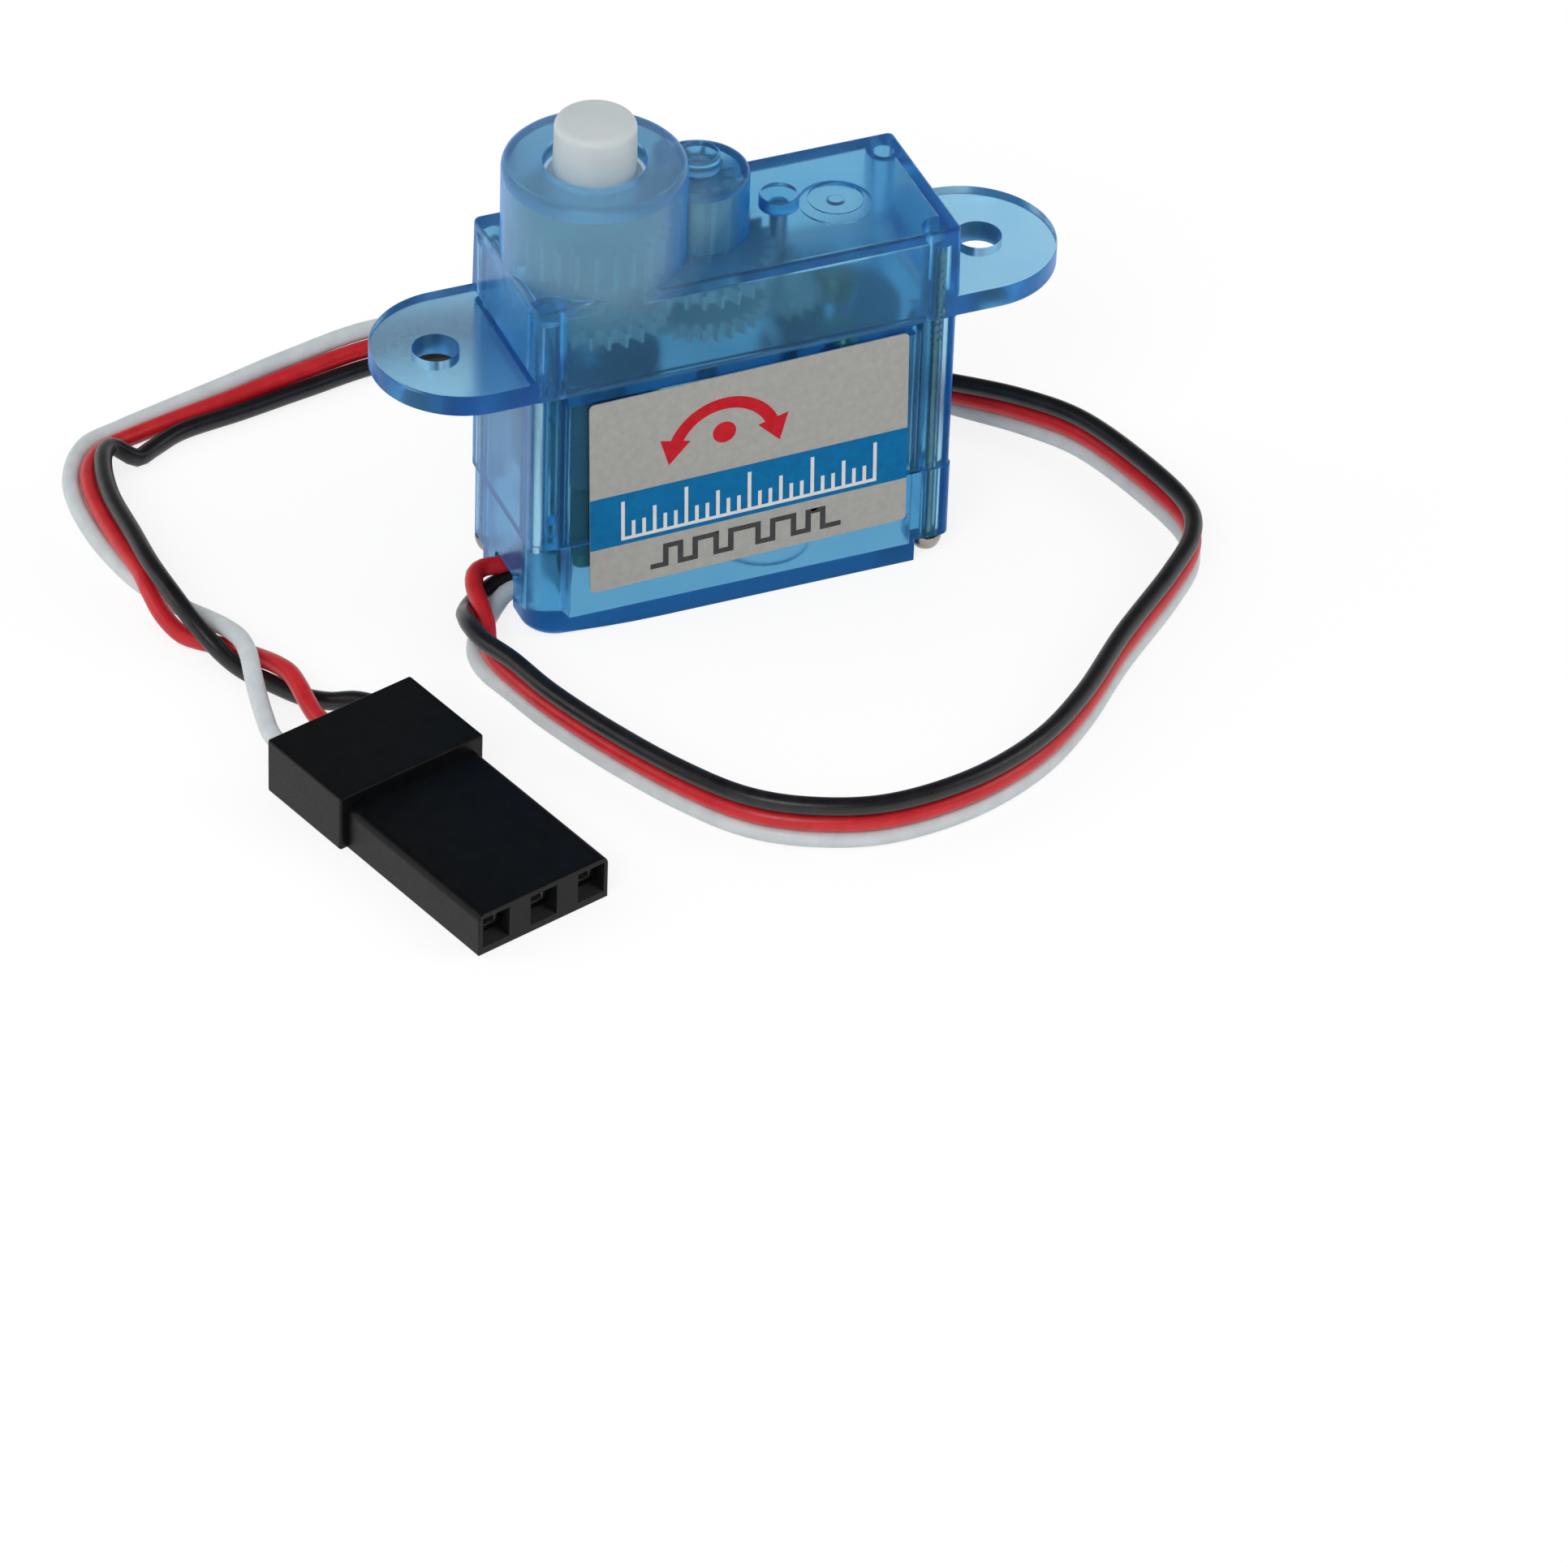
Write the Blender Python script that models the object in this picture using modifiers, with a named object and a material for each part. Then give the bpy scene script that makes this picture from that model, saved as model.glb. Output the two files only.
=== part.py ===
import math

import bmesh
import bpy
from mathutils import Matrix, Vector

# Micro hobby servo motor with a three-wire lead and a plug.
# Every size is in millimetres and mm turns it into metres.
# +X points to the motor end, -Y is the label side and the case stands on z = 0.
mm = 0.001

# Case shells
base_height = 4.82
case_height = 8.32
cover_height = 4.65
case_step = 0.32
base_step = 0.04
base_shift = 0.12
joint_gap = 0.03
wall = 0.5
roof = 0.7
floor = 0.75
cover_draft = 0.06
edge_round = 0.28
corner_round = 0.5
deck_drop = 0.27
deck = 0.7
block_length = 1.8
block_width = 1.65

# Bottom cover details
base_left_round = 1.6
base_right_round = 0.45
base_end_round = 0.7
notch_height = 1.1
notch_wall = 0.2
lead_slot_width = 2.3
lead_slot_height = 1.95
lead_slot_y = -0.2
lead_slot_depth = 1.5

# Mounting ears
ear_thickness = 1.05
ear_reach = 6.0
ear_hole = 2.1
left_hole_reach = 3.14
right_hole_reach = 2.54

# Raised features of the top cover
boss_inset = 0.07
boss_height = 4.65
boss_wall = 0.38
boss_roof = 0.8
boss_round = 0.45
bump_height = 3.15
bump_wall = 0.42
bump_roof = 0.6
bump_round = 0.35
cap_radius = 0.95
cap_height = 0.75
peg_radius = 0.9
peg_height = 0.65
dimple_radius = 1.25
dimple_depth = 0.15
pocket_radius = 1.65
pocket_depth = 0.2

# Gears
fine_module = 0.2
coarse_module = 0.2425
motor_teeth = 8
first_wheel_teeth = 18
first_pinion_teeth = 9
second_pinion_teeth = 13
third_wheel_teeth = 27
third_pinion_teeth = 13
fourth_wheel_teeth = 27
fourth_pinion_teeth = 12
output_teeth = 28
addendum = 0.85
dedendum = 1.2
tooth_thinning = 0.2
pressure_angle = math.radians(20)
wheel_face = 0.7
pinion_face = 1.1
output_face = 1.8
layer_gap = 0.2
stack_gap = 0.1
tooth_room = 0.1
wheel_clear = 0.1
first_offset_y = 0.31

# Shafts, pins and running fits
running_fit = 0.07
pin_fit = 0.02
first_pin_radius = 0.4
idler_pin_radius = 0.45
pin_depth = 0.55
end_play = 0.05
shaft_radius = 1.87
shaft_reach = 2.0
shaft_round = 0.3
journal_radius = 2.13
journal_fit = 0.16
stem_radius = 0.85
stem_bore_depth = 3.0
pot_shaft_radius = 0.5

# Case screws and locating pegs
screw_inset_x = 0.8
screw_inset_y = 0.58
screw_radius = 0.38
screw_fit = 0.05
screw_bite = 3.4
screw_head_radius = 0.73
screw_head_height = 0.82
post_radius = 0.8
locating_radius = 0.4
locating_inset_x = 1.2
locating_inset_y = 1.03
locating_length = 1.0
locating_fit = 0.04

# Motor
motor_radius = 3.2
motor_fit = 0.08
motor_end_room = 0.73
motor_lift = 0.1
motor_wall = 0.25
motor_boss_radius = 1.0
motor_boss_height = 0.45
motor_shaft_radius = 0.3
magnet_wall = 0.5
air_gap = 0.36
end_cap_height = 0.7
commutator_radius = 0.7
commutator_height = 0.6

# Feedback potentiometer
pot_radius = 3.0
pot_height = 4.86
pot_base = 2.4
pot_wall = 0.4
pot_cover = 0.25
wiper_radius = 2.3

# Circuit board
board_bottom = 3.2
board_thickness = 0.6
board_end_gap = 0.5
board_side_gap = 0.22
lead_width = 0.6
lead_thickness = 0.25
lead_fit = 0.1
lead_tail = 0.4
control_chip_length = 4.4
control_chip_width = 3.2
control_chip_height = 0.9
driver_chip_length = 3.0
driver_chip_width = 1.6
driver_chip_height = 0.87
capacitor_radius = 1.25
capacitor_height = 4.37
board_part_gap = 0.75

# Label
label_length = 15.1
label_height = 10.2
label_thickness = 0.06
label_x = 0.22
label_z = 7.4
label_turn = math.radians(1.3)

# Plug
plug_turn = math.radians(16.5)
plug_x = -20.76
plug_y = -8.65
plug_rear_width = 7.7
plug_rear_length = 5.3
plug_rear_height = 2.8
plug_front_width = 6.95
plug_front_length = 9.3
plug_front_height = 2.2
plug_round = 0.35
pin_pitch = 2.54
pin_height = 1.3
socket_width = 1.5
socket_height = 1.4
socket_mouth = 0.95
socket_lip = 0.7
contact_fit = 0.05
contact_start = 4.0
contact_bore = 0.85

# Lead wires: a flat three-wire ribbon that twists, with loose ends
wire_diameter = 0.76
ribbon_pitch = 0.86
wire_end_gap = 0.3

# Middle wire of the ribbon: x, y, z and the tilt of the ribbon in degrees
ribbon_route = [
    (-12.2, -7.3, 1.27, 88), (-11.4, -10.0, 1.27, 90), (-10.0, -13.4, 1.27, 90),
    (-8.2, -16.9, 1.27, 90), (-6.2, -19.7, 1.27, 90), (-3.7, -21.4, 1.27, 90),
    (-0.5, -22.3, 1.27, 90), (3.5, -21.9, 1.27, 90), (7.2, -20.4, 1.27, 90),
    (10.4, -18.0, 1.27, 90), (13.8, -14.6, 1.27, 90), (17.6, -11.2, 1.27, 90),
    (19.7, -8.9, 1.27, 90), (20.4, -6.6, 1.27, 90), (19.8, -2.9, 1.27, 90),
    (18.6, 0.9, 1.27, 88), (16.8, 3.4, 1.27, 84), (14.4, 5.7, 1.25, 75),
    (11.2, 8.6, 1.2, 55), (7.4, 11.6, 1.1, 30), (3.2, 14.4, 1.0, 5),
    (-1.2, 16.7, 1.0, -18), (-5.2, 18.0, 1.05, -34), (-9.1, 18.5, 1.05, -40),
    (-13.0, 18.0, 0.85, -28), (-16.4, 17.4, 0.65, -14), (-19.4, 16.9, 0.5, -3)]

# Loose ends of each wire, from the case to the ribbon and from the ribbon to the plug
black_start = [
    (-7.0, 0.3, 2.85), (-7.1, 0.3, 2.1), (-7.7, 0.25, 1.4), (-8.7, 0.2, 0.9),
    (-9.9, 0.1, 0.72), (-10.8, -0.2, 0.6), (-11.6, -0.8, 0.6), (-12.3, -1.8, 0.95),
    (-12.7, -2.9, 1.55), (-12.95, -4.1, 2.0), (-12.85, -5.5, 2.12)]
red_start = [
    (-7.0, 1.2, 2.85), (-7.1, 1.2, 2.3), (-7.7, 1.0, 1.85), (-8.7, 0.5, 1.6),
    (-9.9, 0.25, 1.52), (-10.6, 0.25, 1.58), (-11.2, -0.1, 1.62), (-11.55, -0.9, 1.55),
    (-11.7, -2.0, 1.42), (-11.9, -3.3, 1.28), (-12.3, -4.6, 1.25), (-12.45, -5.8, 1.26)]
white_start = [
    (-7.0, -0.8, 2.85), (-7.1, -0.8, 2.1), (-7.7, -0.8, 1.4), (-8.7, -0.75, 0.95),
    (-9.9, -0.78, 0.75), (-10.6, -1.25, 0.58), (-11.4, -2.1, 0.45), (-12.3, -3.2, 0.4),
    (-12.75, -4.4, 0.4), (-12.7, -5.7, 0.4)]
black_end = [
    (-20.9, 15.3, 0.42), (-21.9, 14.7, 0.5), (-22.5, 14.9, 0.85), (-23.0, 15.1, 1.15),
    (-23.65, 14.3, 1.4), (-24.2, 12.6, 1.6), (-24.55, 10.4, 1.8), (-24.65, 7.5, 2.05),
    (-24.7, 4.8, 2.15), (-24.45, 2.6, 1.95), (-24.0, 0.9, 1.4), (-23.35, -0.5, 0.7),
    (-22.7, -1.8, 0.4), (-21.8, -3.2, 0.4), (-20.95, -4.5, 0.45), (-20.1, -5.6, 0.75),
    (-19.2, -6.4, 1.15), (-18.55, -7.2, 1.3)]
red_end = [
    (-21.4, 16.4, 0.5), (-23.1, 15.75, 0.6), (-24.3, 14.4, 0.75), (-24.85, 12.6, 0.9),
    (-25.05, 10.2, 1.05), (-25.05, 7.8, 1.2), (-24.95, 5.6, 1.3), (-25.0, 4.2, 1.2),
    (-24.85, 2.8, 0.75), (-24.4, 1.6, 0.42), (-23.7, 0.8, 0.4), (-23.0, 0.2, 0.4),
    (-22.4, -0.65, 0.55), (-21.95, -1.7, 0.85), (-21.6, -2.8, 1.2), (-21.35, -3.9, 1.45),
    (-21.3, -5.0, 1.5), (-21.3, -6.2, 1.4), (-21.2, -7.3, 1.32)]
white_end = [
    (-21.9, 17.2, 0.42), (-23.8, 16.5, 0.4), (-25.1, 14.6, 0.4), (-25.6, 12.4, 0.4),
    (-25.6, 9.8, 0.4), (-25.3, 7.6, 0.4), (-24.85, 5.8, 0.4), (-24.2, 4.3, 0.4),
    (-23.55, 3.1, 0.45), (-23.05, 1.7, 0.8), (-22.75, 0.3, 1.25), (-22.6, -1.1, 1.62),
    (-22.7, -2.4, 1.75), (-22.95, -3.7, 1.62), (-23.2, -5.1, 1.45), (-23.4, -6.5, 1.34),
    (-23.5, -7.8, 1.3)]


def tip_radius(teeth, module):
    return module * (teeth / 2 + addendum)


# The second wheel has the teeth that hold the first gear's pin clear of the fourth wheel
pin_reach = tip_radius(fourth_wheel_teeth, coarse_module) + wheel_clear + first_pin_radius
second_wheel_teeth = math.ceil(2 * pin_reach / fine_module) - first_pinion_teeth

# Widths that follow from what the shells hold
large_wheel = max(tip_radius(third_wheel_teeth, coarse_module),
                  tip_radius(fourth_wheel_teeth, coarse_module),
                  tip_radius(second_wheel_teeth, fine_module))
case_width = 2 * (max(motor_radius, pot_radius) + motor_fit + wall)
cover_width = 2 * max(case_width / 2 + case_step, large_wheel + tooth_room + wall)
base_width = case_width + 2 * base_step
board_width = base_width - 2 * (wall + board_side_gap)
boss_radius = tip_radius(output_teeth, coarse_module) + tooth_room + boss_wall
bump_radius = tip_radius(fourth_pinion_teeth, coarse_module) + 2 * tooth_room + bump_wall

# The length is the gear train, laid from the boss to the motor, between the two end walls
coarse_centres = coarse_module * (fourth_pinion_teeth + output_teeth) / 2
first_centres = fine_module * (first_pinion_teeth + second_wheel_teeth) / 2
motor_centres = fine_module * (motor_teeth + first_wheel_teeth) / 2
first_step = math.sqrt(first_centres ** 2 - first_offset_y ** 2)
motor_step = math.sqrt(motor_centres ** 2 - first_offset_y ** 2)
train_length = coarse_centres + first_step + motor_step
body_length = (boss_inset + boss_radius + train_length
               + motor_radius + motor_end_room + wall)
half_length = body_length / 2
board_length = body_length - 2 * (block_length + board_end_gap)
output_x = -half_length + boss_inset + boss_radius
idler_x = output_x + coarse_centres
first_x = idler_x + first_step
motor_x = first_x + motor_step

# Heights, from the floor up
base_top = base_height
case_bottom = base_top + joint_gap
case_top = case_bottom + case_height
cover_bottom = case_top + joint_gap
roof_top = cover_bottom + cover_height
boss_top = roof_top + boss_height
bump_top = roof_top + bump_height
shaft_top = boss_top + shaft_reach
deck_top = case_top - deck_drop
deck_bottom = deck_top - deck
roof_bottom = roof_top - roof
boss_ceiling = boss_top - boss_roof
bump_ceiling = bump_top - bump_roof
motor_bottom = case_bottom + motor_lift

# Fixing points in the corners
screw_x = half_length - screw_inset_x
screw_y = case_width / 2 - screw_inset_y
locating_x = half_length - locating_inset_x
locating_y = case_width / 2 - locating_inset_y
ear_tip = half_length + ear_reach

# Gear levels, one above the other from the deck
first_wheel_z = deck_top + layer_gap
second_wheel_z = first_wheel_z + wheel_face + layer_gap
third_wheel_z = second_wheel_z + wheel_face + layer_gap
second_top = second_wheel_z + wheel_face + pinion_face
fourth_wheel_z = second_top + stack_gap
first_top = first_wheel_z + wheel_face + pinion_face
third_top = third_wheel_z + wheel_face + pinion_face
fourth_wheel_top = fourth_wheel_z + wheel_face
output_wheel_top = boss_ceiling - output_face
output_wheel_z = output_wheel_top - output_face
fourth_top = bump_ceiling - layer_gap
stem_bottom = deck_top + 2 * layer_gap
stem_bore_top = stem_bottom + stem_bore_depth


def empty_scene():
    for old in list(bpy.data.objects):
        bpy.data.objects.remove(old, do_unlink=True)


def new_collection(name):
    made = bpy.data.collections.new(name)
    bpy.context.scene.collection.children.link(made)
    return made


def paint(name, colour, roughness, metallic=0.0, transmission=0.0):
    made = bpy.data.materials.new(name)
    made.use_nodes = True
    made.diffuse_color = (*colour, 1.0)
    shader = made.node_tree.nodes["Principled BSDF"]
    shader.inputs["Base Color"].default_value = (*colour, 1.0)
    shader.inputs["Roughness"].default_value = roughness
    shader.inputs["Metallic"].default_value = metallic
    shader.inputs["Transmission Weight"].default_value = transmission
    return made


empty_scene()
parts = new_collection("hobby_servo_motor")
cutters = new_collection("cutters")

clear_blue = paint("clear_blue", (0.27, 0.52, 0.68), 0.3, 0.0, 0.6)
white_nylon = paint("white_nylon", (0.86, 0.86, 0.83), 0.42)
steel = paint("steel", (0.62, 0.62, 0.6), 0.3, 1.0)
brass = paint("brass", (0.75, 0.57, 0.26), 0.32, 1.0)
tinned = paint("tinned", (0.7, 0.7, 0.68), 0.35, 1.0)
black_plastic = paint("black_plastic", (0.02, 0.02, 0.022), 0.45)
grey_plastic = paint("grey_plastic", (0.16, 0.16, 0.17), 0.5)
copper = paint("copper", (0.6, 0.3, 0.16), 0.4, 1.0)
ferrite = paint("ferrite", (0.09, 0.09, 0.1), 0.7)
board_green = paint("board_green", (0.03, 0.16, 0.09), 0.45)
label_film = paint("label_film", (0.6, 0.59, 0.56), 0.38)
black_insulation = paint("black_insulation", (0.025, 0.025, 0.03), 0.45)
red_insulation = paint("red_insulation", (0.62, 0.03, 0.04), 0.45)
white_insulation = paint("white_insulation", (0.74, 0.75, 0.74), 0.45)


def place(name, mesh, material, x=0.0, y=0.0, smooth=True):
    made = bpy.data.objects.new(name, mesh)
    made.location = (x * mm, y * mm, 0.0)
    if material is None:
        cutters.objects.link(made)
        made.hide_render = True
        made.display_type = "WIRE"
        return made
    parts.objects.link(made)
    mesh.materials.append(material)
    if smooth:
        mesh.shade_smooth()
        mesh.set_sharp_from_angle(angle=math.radians(35))
    return made


def box(name, spans, material=None, x=0.0, y=0.0):
    # Each span is x0, x1, y0, y1, z0, z1 about the object's own axis
    shape = bmesh.new()
    for x0, x1, y0, y1, z0, z1 in spans:
        middle = Matrix.Translation(Vector((x0 + x1, y0 + y1, z0 + z1)) * mm / 2)
        size = Matrix.Diagonal(Vector((x1 - x0, y1 - y0, z1 - z0, 1 / mm)) * mm)
        bmesh.ops.create_cube(shape, size=1.0, matrix=middle @ size)
    mesh = bpy.data.meshes.new(name)
    shape.to_mesh(mesh)
    shape.free()
    return place(name, mesh, material, x, y, False)


def rods(name, spans, material=None, x=0.0, y=0.0, sides=20):
    # Each span is x, y, radius, z0, z1 about the object's own axis
    shape = bmesh.new()
    for rod_x, rod_y, radius, z0, z1 in spans:
        middle = Matrix.Translation(Vector((rod_x, rod_y, (z0 + z1) / 2)) * mm)
        bmesh.ops.create_cone(shape, cap_ends=True, segments=sides, radius1=radius * mm,
                              radius2=radius * mm, depth=(z1 - z0) * mm, matrix=middle)
    mesh = bpy.data.meshes.new(name)
    shape.to_mesh(mesh)
    shape.free()
    return place(name, mesh, material, x, y)


def turned(name, profile, material=None, x=0.0, y=0.0, sides=24):
    # The profile lists radius and height, down the outer side
    shape = bmesh.new()
    corners = [shape.verts.new((radius * mm, 0.0, height * mm)) for radius, height in profile]
    for upper, lower in zip(corners, corners[1:]):
        shape.edges.new((upper, lower))
    if profile[0][0] > 0:
        shape.edges.new((corners[-1], corners[0]))
    mesh = bpy.data.meshes.new(name)
    shape.to_mesh(mesh)
    shape.free()
    made = place(name, mesh, material, x, y, False)
    spin = made.modifiers.new("spin", "SCREW")
    spin.axis = "Z"
    spin.angle = math.tau
    spin.steps = sides
    spin.render_steps = sides
    spin.use_merge_vertices = True
    spin.merge_threshold = 0.000001
    spin.use_smooth_shade = True
    return made


def plate(name, outline, z0, z1, material=None, x=0.0, y=0.0, smooth=True):
    # A closed flat outline, given thickness by a filled 2D curve
    curve = bpy.data.curves.new(name, "CURVE")
    curve.dimensions = "2D"
    curve.fill_mode = "BOTH"
    curve.extrude = (z1 - z0) / 2 * mm
    spline = curve.splines.new("POLY")
    spline.points.add(len(outline) - 1)
    for point, (point_x, point_y) in zip(spline.points, outline):
        point.co = (point_x * mm, point_y * mm, 0.0, 1.0)
    spline.use_cyclic_u = True
    drawn = bpy.data.objects.new(name, curve)
    drawn.location.z = (z0 + z1) / 2 * mm
    cutters.objects.link(drawn)
    bpy.context.view_layer.update()
    graph = bpy.context.evaluated_depsgraph_get()
    mesh = bpy.data.meshes.new_from_object(drawn.evaluated_get(graph))
    mesh.transform(drawn.matrix_world)
    bpy.data.objects.remove(drawn, do_unlink=True)
    bpy.data.curves.remove(curve)
    shape = bmesh.new()
    shape.from_mesh(mesh)
    bmesh.ops.remove_doubles(shape, verts=shape.verts, dist=0.0000001)
    bmesh.ops.recalc_face_normals(shape, faces=shape.faces)
    shape.to_mesh(mesh)
    shape.free()
    mesh.name = name
    return place(name, mesh, material, x, y, smooth)


def combine(target, tool, operation="DIFFERENCE", solver="EXACT"):
    step = target.modifiers.new(tool.name, "BOOLEAN")
    step.operation = operation
    step.object = tool
    step.solver = solver


def shell_step(target, tool, operation="DIFFERENCE"):
    # The case shells have thin faces that meet, which the exact solver leaves open
    combine(target, tool, operation, "MANIFOLD")


def bevel_edges(target, width, segments, wanted):
    # Rounds the edges whose two ends both pass the test
    shape = bmesh.new()
    shape.from_mesh(target.data)
    bmesh.ops.dissolve_limit(shape, angle_limit=0.001, verts=shape.verts, edges=shape.edges)
    chosen = [edge for edge in shape.edges if all(wanted(vert.co / mm) for vert in edge.verts)]
    bmesh.ops.bevel(shape, geom=chosen, offset=width * mm, segments=segments, profile=0.5,
                    affect="EDGES", clamp_overlap=True)
    shape.to_mesh(target.data)
    shape.free()


def arc(centre_x, centre_y, radius, start, end, steps):
    angles = [math.radians(start + (end - start) * step / steps) for step in range(steps + 1)]
    return [(centre_x + radius * math.cos(a), centre_y + radius * math.sin(a)) for a in angles]


def rounded(x0, x1, y0, y1, rounds, steps=5):
    # Corner rounds in the order front left, front right, rear right, rear left
    a, b, c, d = rounds
    return (arc(x0 + a, y0 + a, a, 180, 270, steps) + arc(x1 - b, y0 + b, b, 270, 360, steps)
            + arc(x1 - c, y1 - c, c, 0, 90, steps) + arc(x0 + d, y1 - d, d, 90, 180, steps))


def cross_outline(length, width, corner_length, corner_width):
    # A rectangle with its four corners left out
    long_x = length / 2
    short_x = long_x - corner_length
    long_y = width / 2
    short_y = long_y - corner_width
    return [(-long_x, -short_y), (-short_x, -short_y), (-short_x, -long_y), (short_x, -long_y),
            (short_x, -short_y), (long_x, -short_y), (long_x, short_y), (short_x, short_y),
            (short_x, long_y), (-short_x, long_y), (-short_x, short_y), (-long_x, short_y)]


def involute(angle):
    return math.tan(angle) - angle


def gear_outline(teeth, module, toward):
    # Four points a tooth: root and tip on both flanks, with the first tooth along toward
    pitch = module * teeth / 2
    base = pitch * math.cos(pressure_angle)
    half_tooth = math.pi / 2 / teeth * (1 - tooth_thinning) + involute(pressure_angle)
    steps = []
    for radius in (pitch - dedendum * module, tip_radius(teeth, module)):
        lean = involute(math.acos(min(1.0, base / radius)))
        steps.append((radius, half_tooth - lean))
    outline = []
    for tooth in range(teeth):
        centre = toward + math.tau * tooth / teeth
        for radius, half in steps:
            outline.append((radius * math.cos(centre - half), radius * math.sin(centre - half)))
        for radius, half in reversed(steps):
            outline.append((radius * math.cos(centre + half), radius * math.sin(centre + half)))
    return outline


def gap_outline(teeth, module, toward):
    # The same gear with the middle of a tooth gap along toward
    return gear_outline(teeth, module, toward + math.pi / teeth)


def smooth_points(keys, spacing):
    # Even points along a Catmull-Rom curve through the key points
    guide = [Vector(key) for key in keys]
    guide = [2 * guide[0] - guide[1]] + guide + [2 * guide[-1] - guide[-2]]
    fine = []
    for before, start, end, after in zip(guide, guide[1:], guide[2:], guide[3:]):
        for part in range(12):
            t = part / 12
            bend = (2 * before - 5 * start + 4 * end - after) * t * t
            twist = (3 * start - before - 3 * end + after) * t ** 3
            fine.append(start + ((end - before) * t + bend + twist) / 2)
    fine.append(guide[-2])
    run = [0.0]
    for one, two in zip(fine, fine[1:]):
        run.append(run[-1] + (two - one).length)
    count = max(2, round(run[-1] / spacing))
    even = []
    index = 0
    for step in range(count + 1):
        reach = run[-1] * step / count
        while index < len(run) - 2 and run[index + 1] < reach:
            index += 1
        share = (reach - run[index]) / max(run[index + 1] - run[index], 0.000001)
        even.append(fine[index].lerp(fine[index + 1], share))
    return even, run[-1]


def ribbon_side(offset):
    # The ribbon's path moved sideways by offset, along the tilted ribbon
    middle = [Vector(key[:3]) for key in ribbon_route]
    moved = []
    for index, key in enumerate(ribbon_route):
        ahead = middle[min(index + 1, len(middle) - 1)] - middle[max(index - 1, 0)]
        left = Vector((-ahead.y, ahead.x, 0.0)).normalized()
        tilt = math.radians(key[3])
        across = left * math.cos(tilt) + Vector((0.0, 0.0, math.sin(tilt)))
        moved.append(tuple(middle[index] + across * offset))
    return moved


def plug_point(across, along, height):
    # A point given from the middle of the plug's rear face, in the case's frame
    turn = Matrix.Rotation(plug_turn, 3, "Z")
    return Vector((plug_x, plug_y, 0.0)) + turn @ Vector((across, -along, height))


def wire(name, start, offset, end, slot, material):
    entry = [tuple(plug_point(slot * pin_pitch, along, pin_height)) for along in (0.2, 1.8)]
    last = tuple(plug_point(slot * pin_pitch, contact_start - wire_end_gap, pin_height))
    keys = start + ribbon_side(offset) + end + entry + [last]
    points, length = smooth_points(keys, 2.4 * wire_diameter)
    curve = bpy.data.curves.new(name, "CURVE")
    curve.dimensions = "3D"
    curve.bevel_depth = wire_diameter / 2 * mm
    curve.bevel_resolution = 2
    curve.use_fill_caps = True
    spline = curve.splines.new("POLY")
    spline.points.add(len(points) - 1)
    for point, where in zip(spline.points, points):
        point.co = (*(where * mm), 1.0)
    made = bpy.data.objects.new(name, curve)
    parts.objects.link(made)
    curve.materials.append(material)
    print(name, "length", round(length, 1), "mm")
    return made


# Top cover: case half with the ears, the output boss, the idler bump and the pin peg
cover_half = cover_width / 2
top_cover = plate("top_cover", rounded(-half_length, half_length, -cover_half, cover_half,
                                       [corner_round] * 4), cover_bottom, roof_top, clear_blue)
for corner in top_cover.data.vertices:
    if corner.co.z > (roof_top - 0.01) * mm:
        corner.co.x *= 1 - cover_draft / half_length
        corner.co.y *= 1 - cover_draft / cover_half
bevel_edges(top_cover, edge_round, 2, lambda at: at.z > roof_top - 0.01)
ear_middle = ear_tip - cover_half
ear_outline = (arc(-ear_middle, 0, cover_half, 90, 270, 16)
               + arc(ear_middle, 0, cover_half, -90, 90, 16))
ear_plate = plate("ear_plate", ear_outline, cover_bottom, cover_bottom + ear_thickness)
shell_step(top_cover, ear_plate, "UNION")
boss = turned("boss", [(0, boss_top), (boss_radius - boss_round, boss_top),
                       (boss_radius - 0.3 * boss_round, boss_top - 0.3 * boss_round),
                       (boss_radius, boss_top - boss_round), (boss_radius, roof_bottom + 0.1),
                       (0, roof_bottom + 0.1)], None, output_x, 0, 40)
shell_step(top_cover, boss, "UNION")
bump = turned("bump", [(0, bump_top), (bump_radius - bump_round, bump_top),
                       (bump_radius - 0.3 * bump_round, bump_top - 0.3 * bump_round),
                       (bump_radius, bump_top - bump_round), (bump_radius, roof_bottom + 0.15),
                       (0, roof_bottom + 0.15)], None, idler_x, 0, 28)
shell_step(top_cover, bump, "UNION")
cap_top = bump_top + cap_height
peg_top = roof_top + peg_height
pin_caps = rods("pin_caps", [(idler_x, 0, cap_radius, bump_ceiling + 0.2, cap_top),
                             (first_x, first_offset_y, peg_radius, roof_bottom + 0.2, peg_top)])
shell_step(top_cover, pin_caps, "UNION")
inside_x = half_length - wall
inside_y = cover_half - wall
cover_room = box("cover_room", [(-inside_x, inside_x, -inside_y, inside_y,
                                 cover_bottom - 1, roof_bottom)])
shell_step(top_cover, cover_room)
boss_room = rods("boss_room", [(output_x, 0, boss_radius - boss_wall, roof_bottom - 0.5,
                                boss_ceiling)], sides=40)
shell_step(top_cover, boss_room)
bump_room = rods("bump_room", [(idler_x, 0, bump_radius - bump_wall, roof_bottom - 0.55,
                                bump_ceiling)], sides=28)
shell_step(top_cover, bump_room)
posts = rods("posts", [(side * screw_x, way * screw_y, post_radius, cover_bottom,
                        roof_bottom + 0.2) for side in (-1, 1) for way in (-1, 1)], sides=14)
shell_step(top_cover, posts, "UNION")
cover_pegs = rods("cover_pegs", [(side * locating_x, side * locating_y, locating_radius,
                                  cover_bottom - locating_length, cover_bottom + 0.5)
                                 for side in (-1, 1)], sides=16)
shell_step(top_cover, cover_pegs, "UNION")
idler_pin_top = cap_top - cap_height / 2
first_pin_top = peg_top - peg_height / 2
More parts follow.
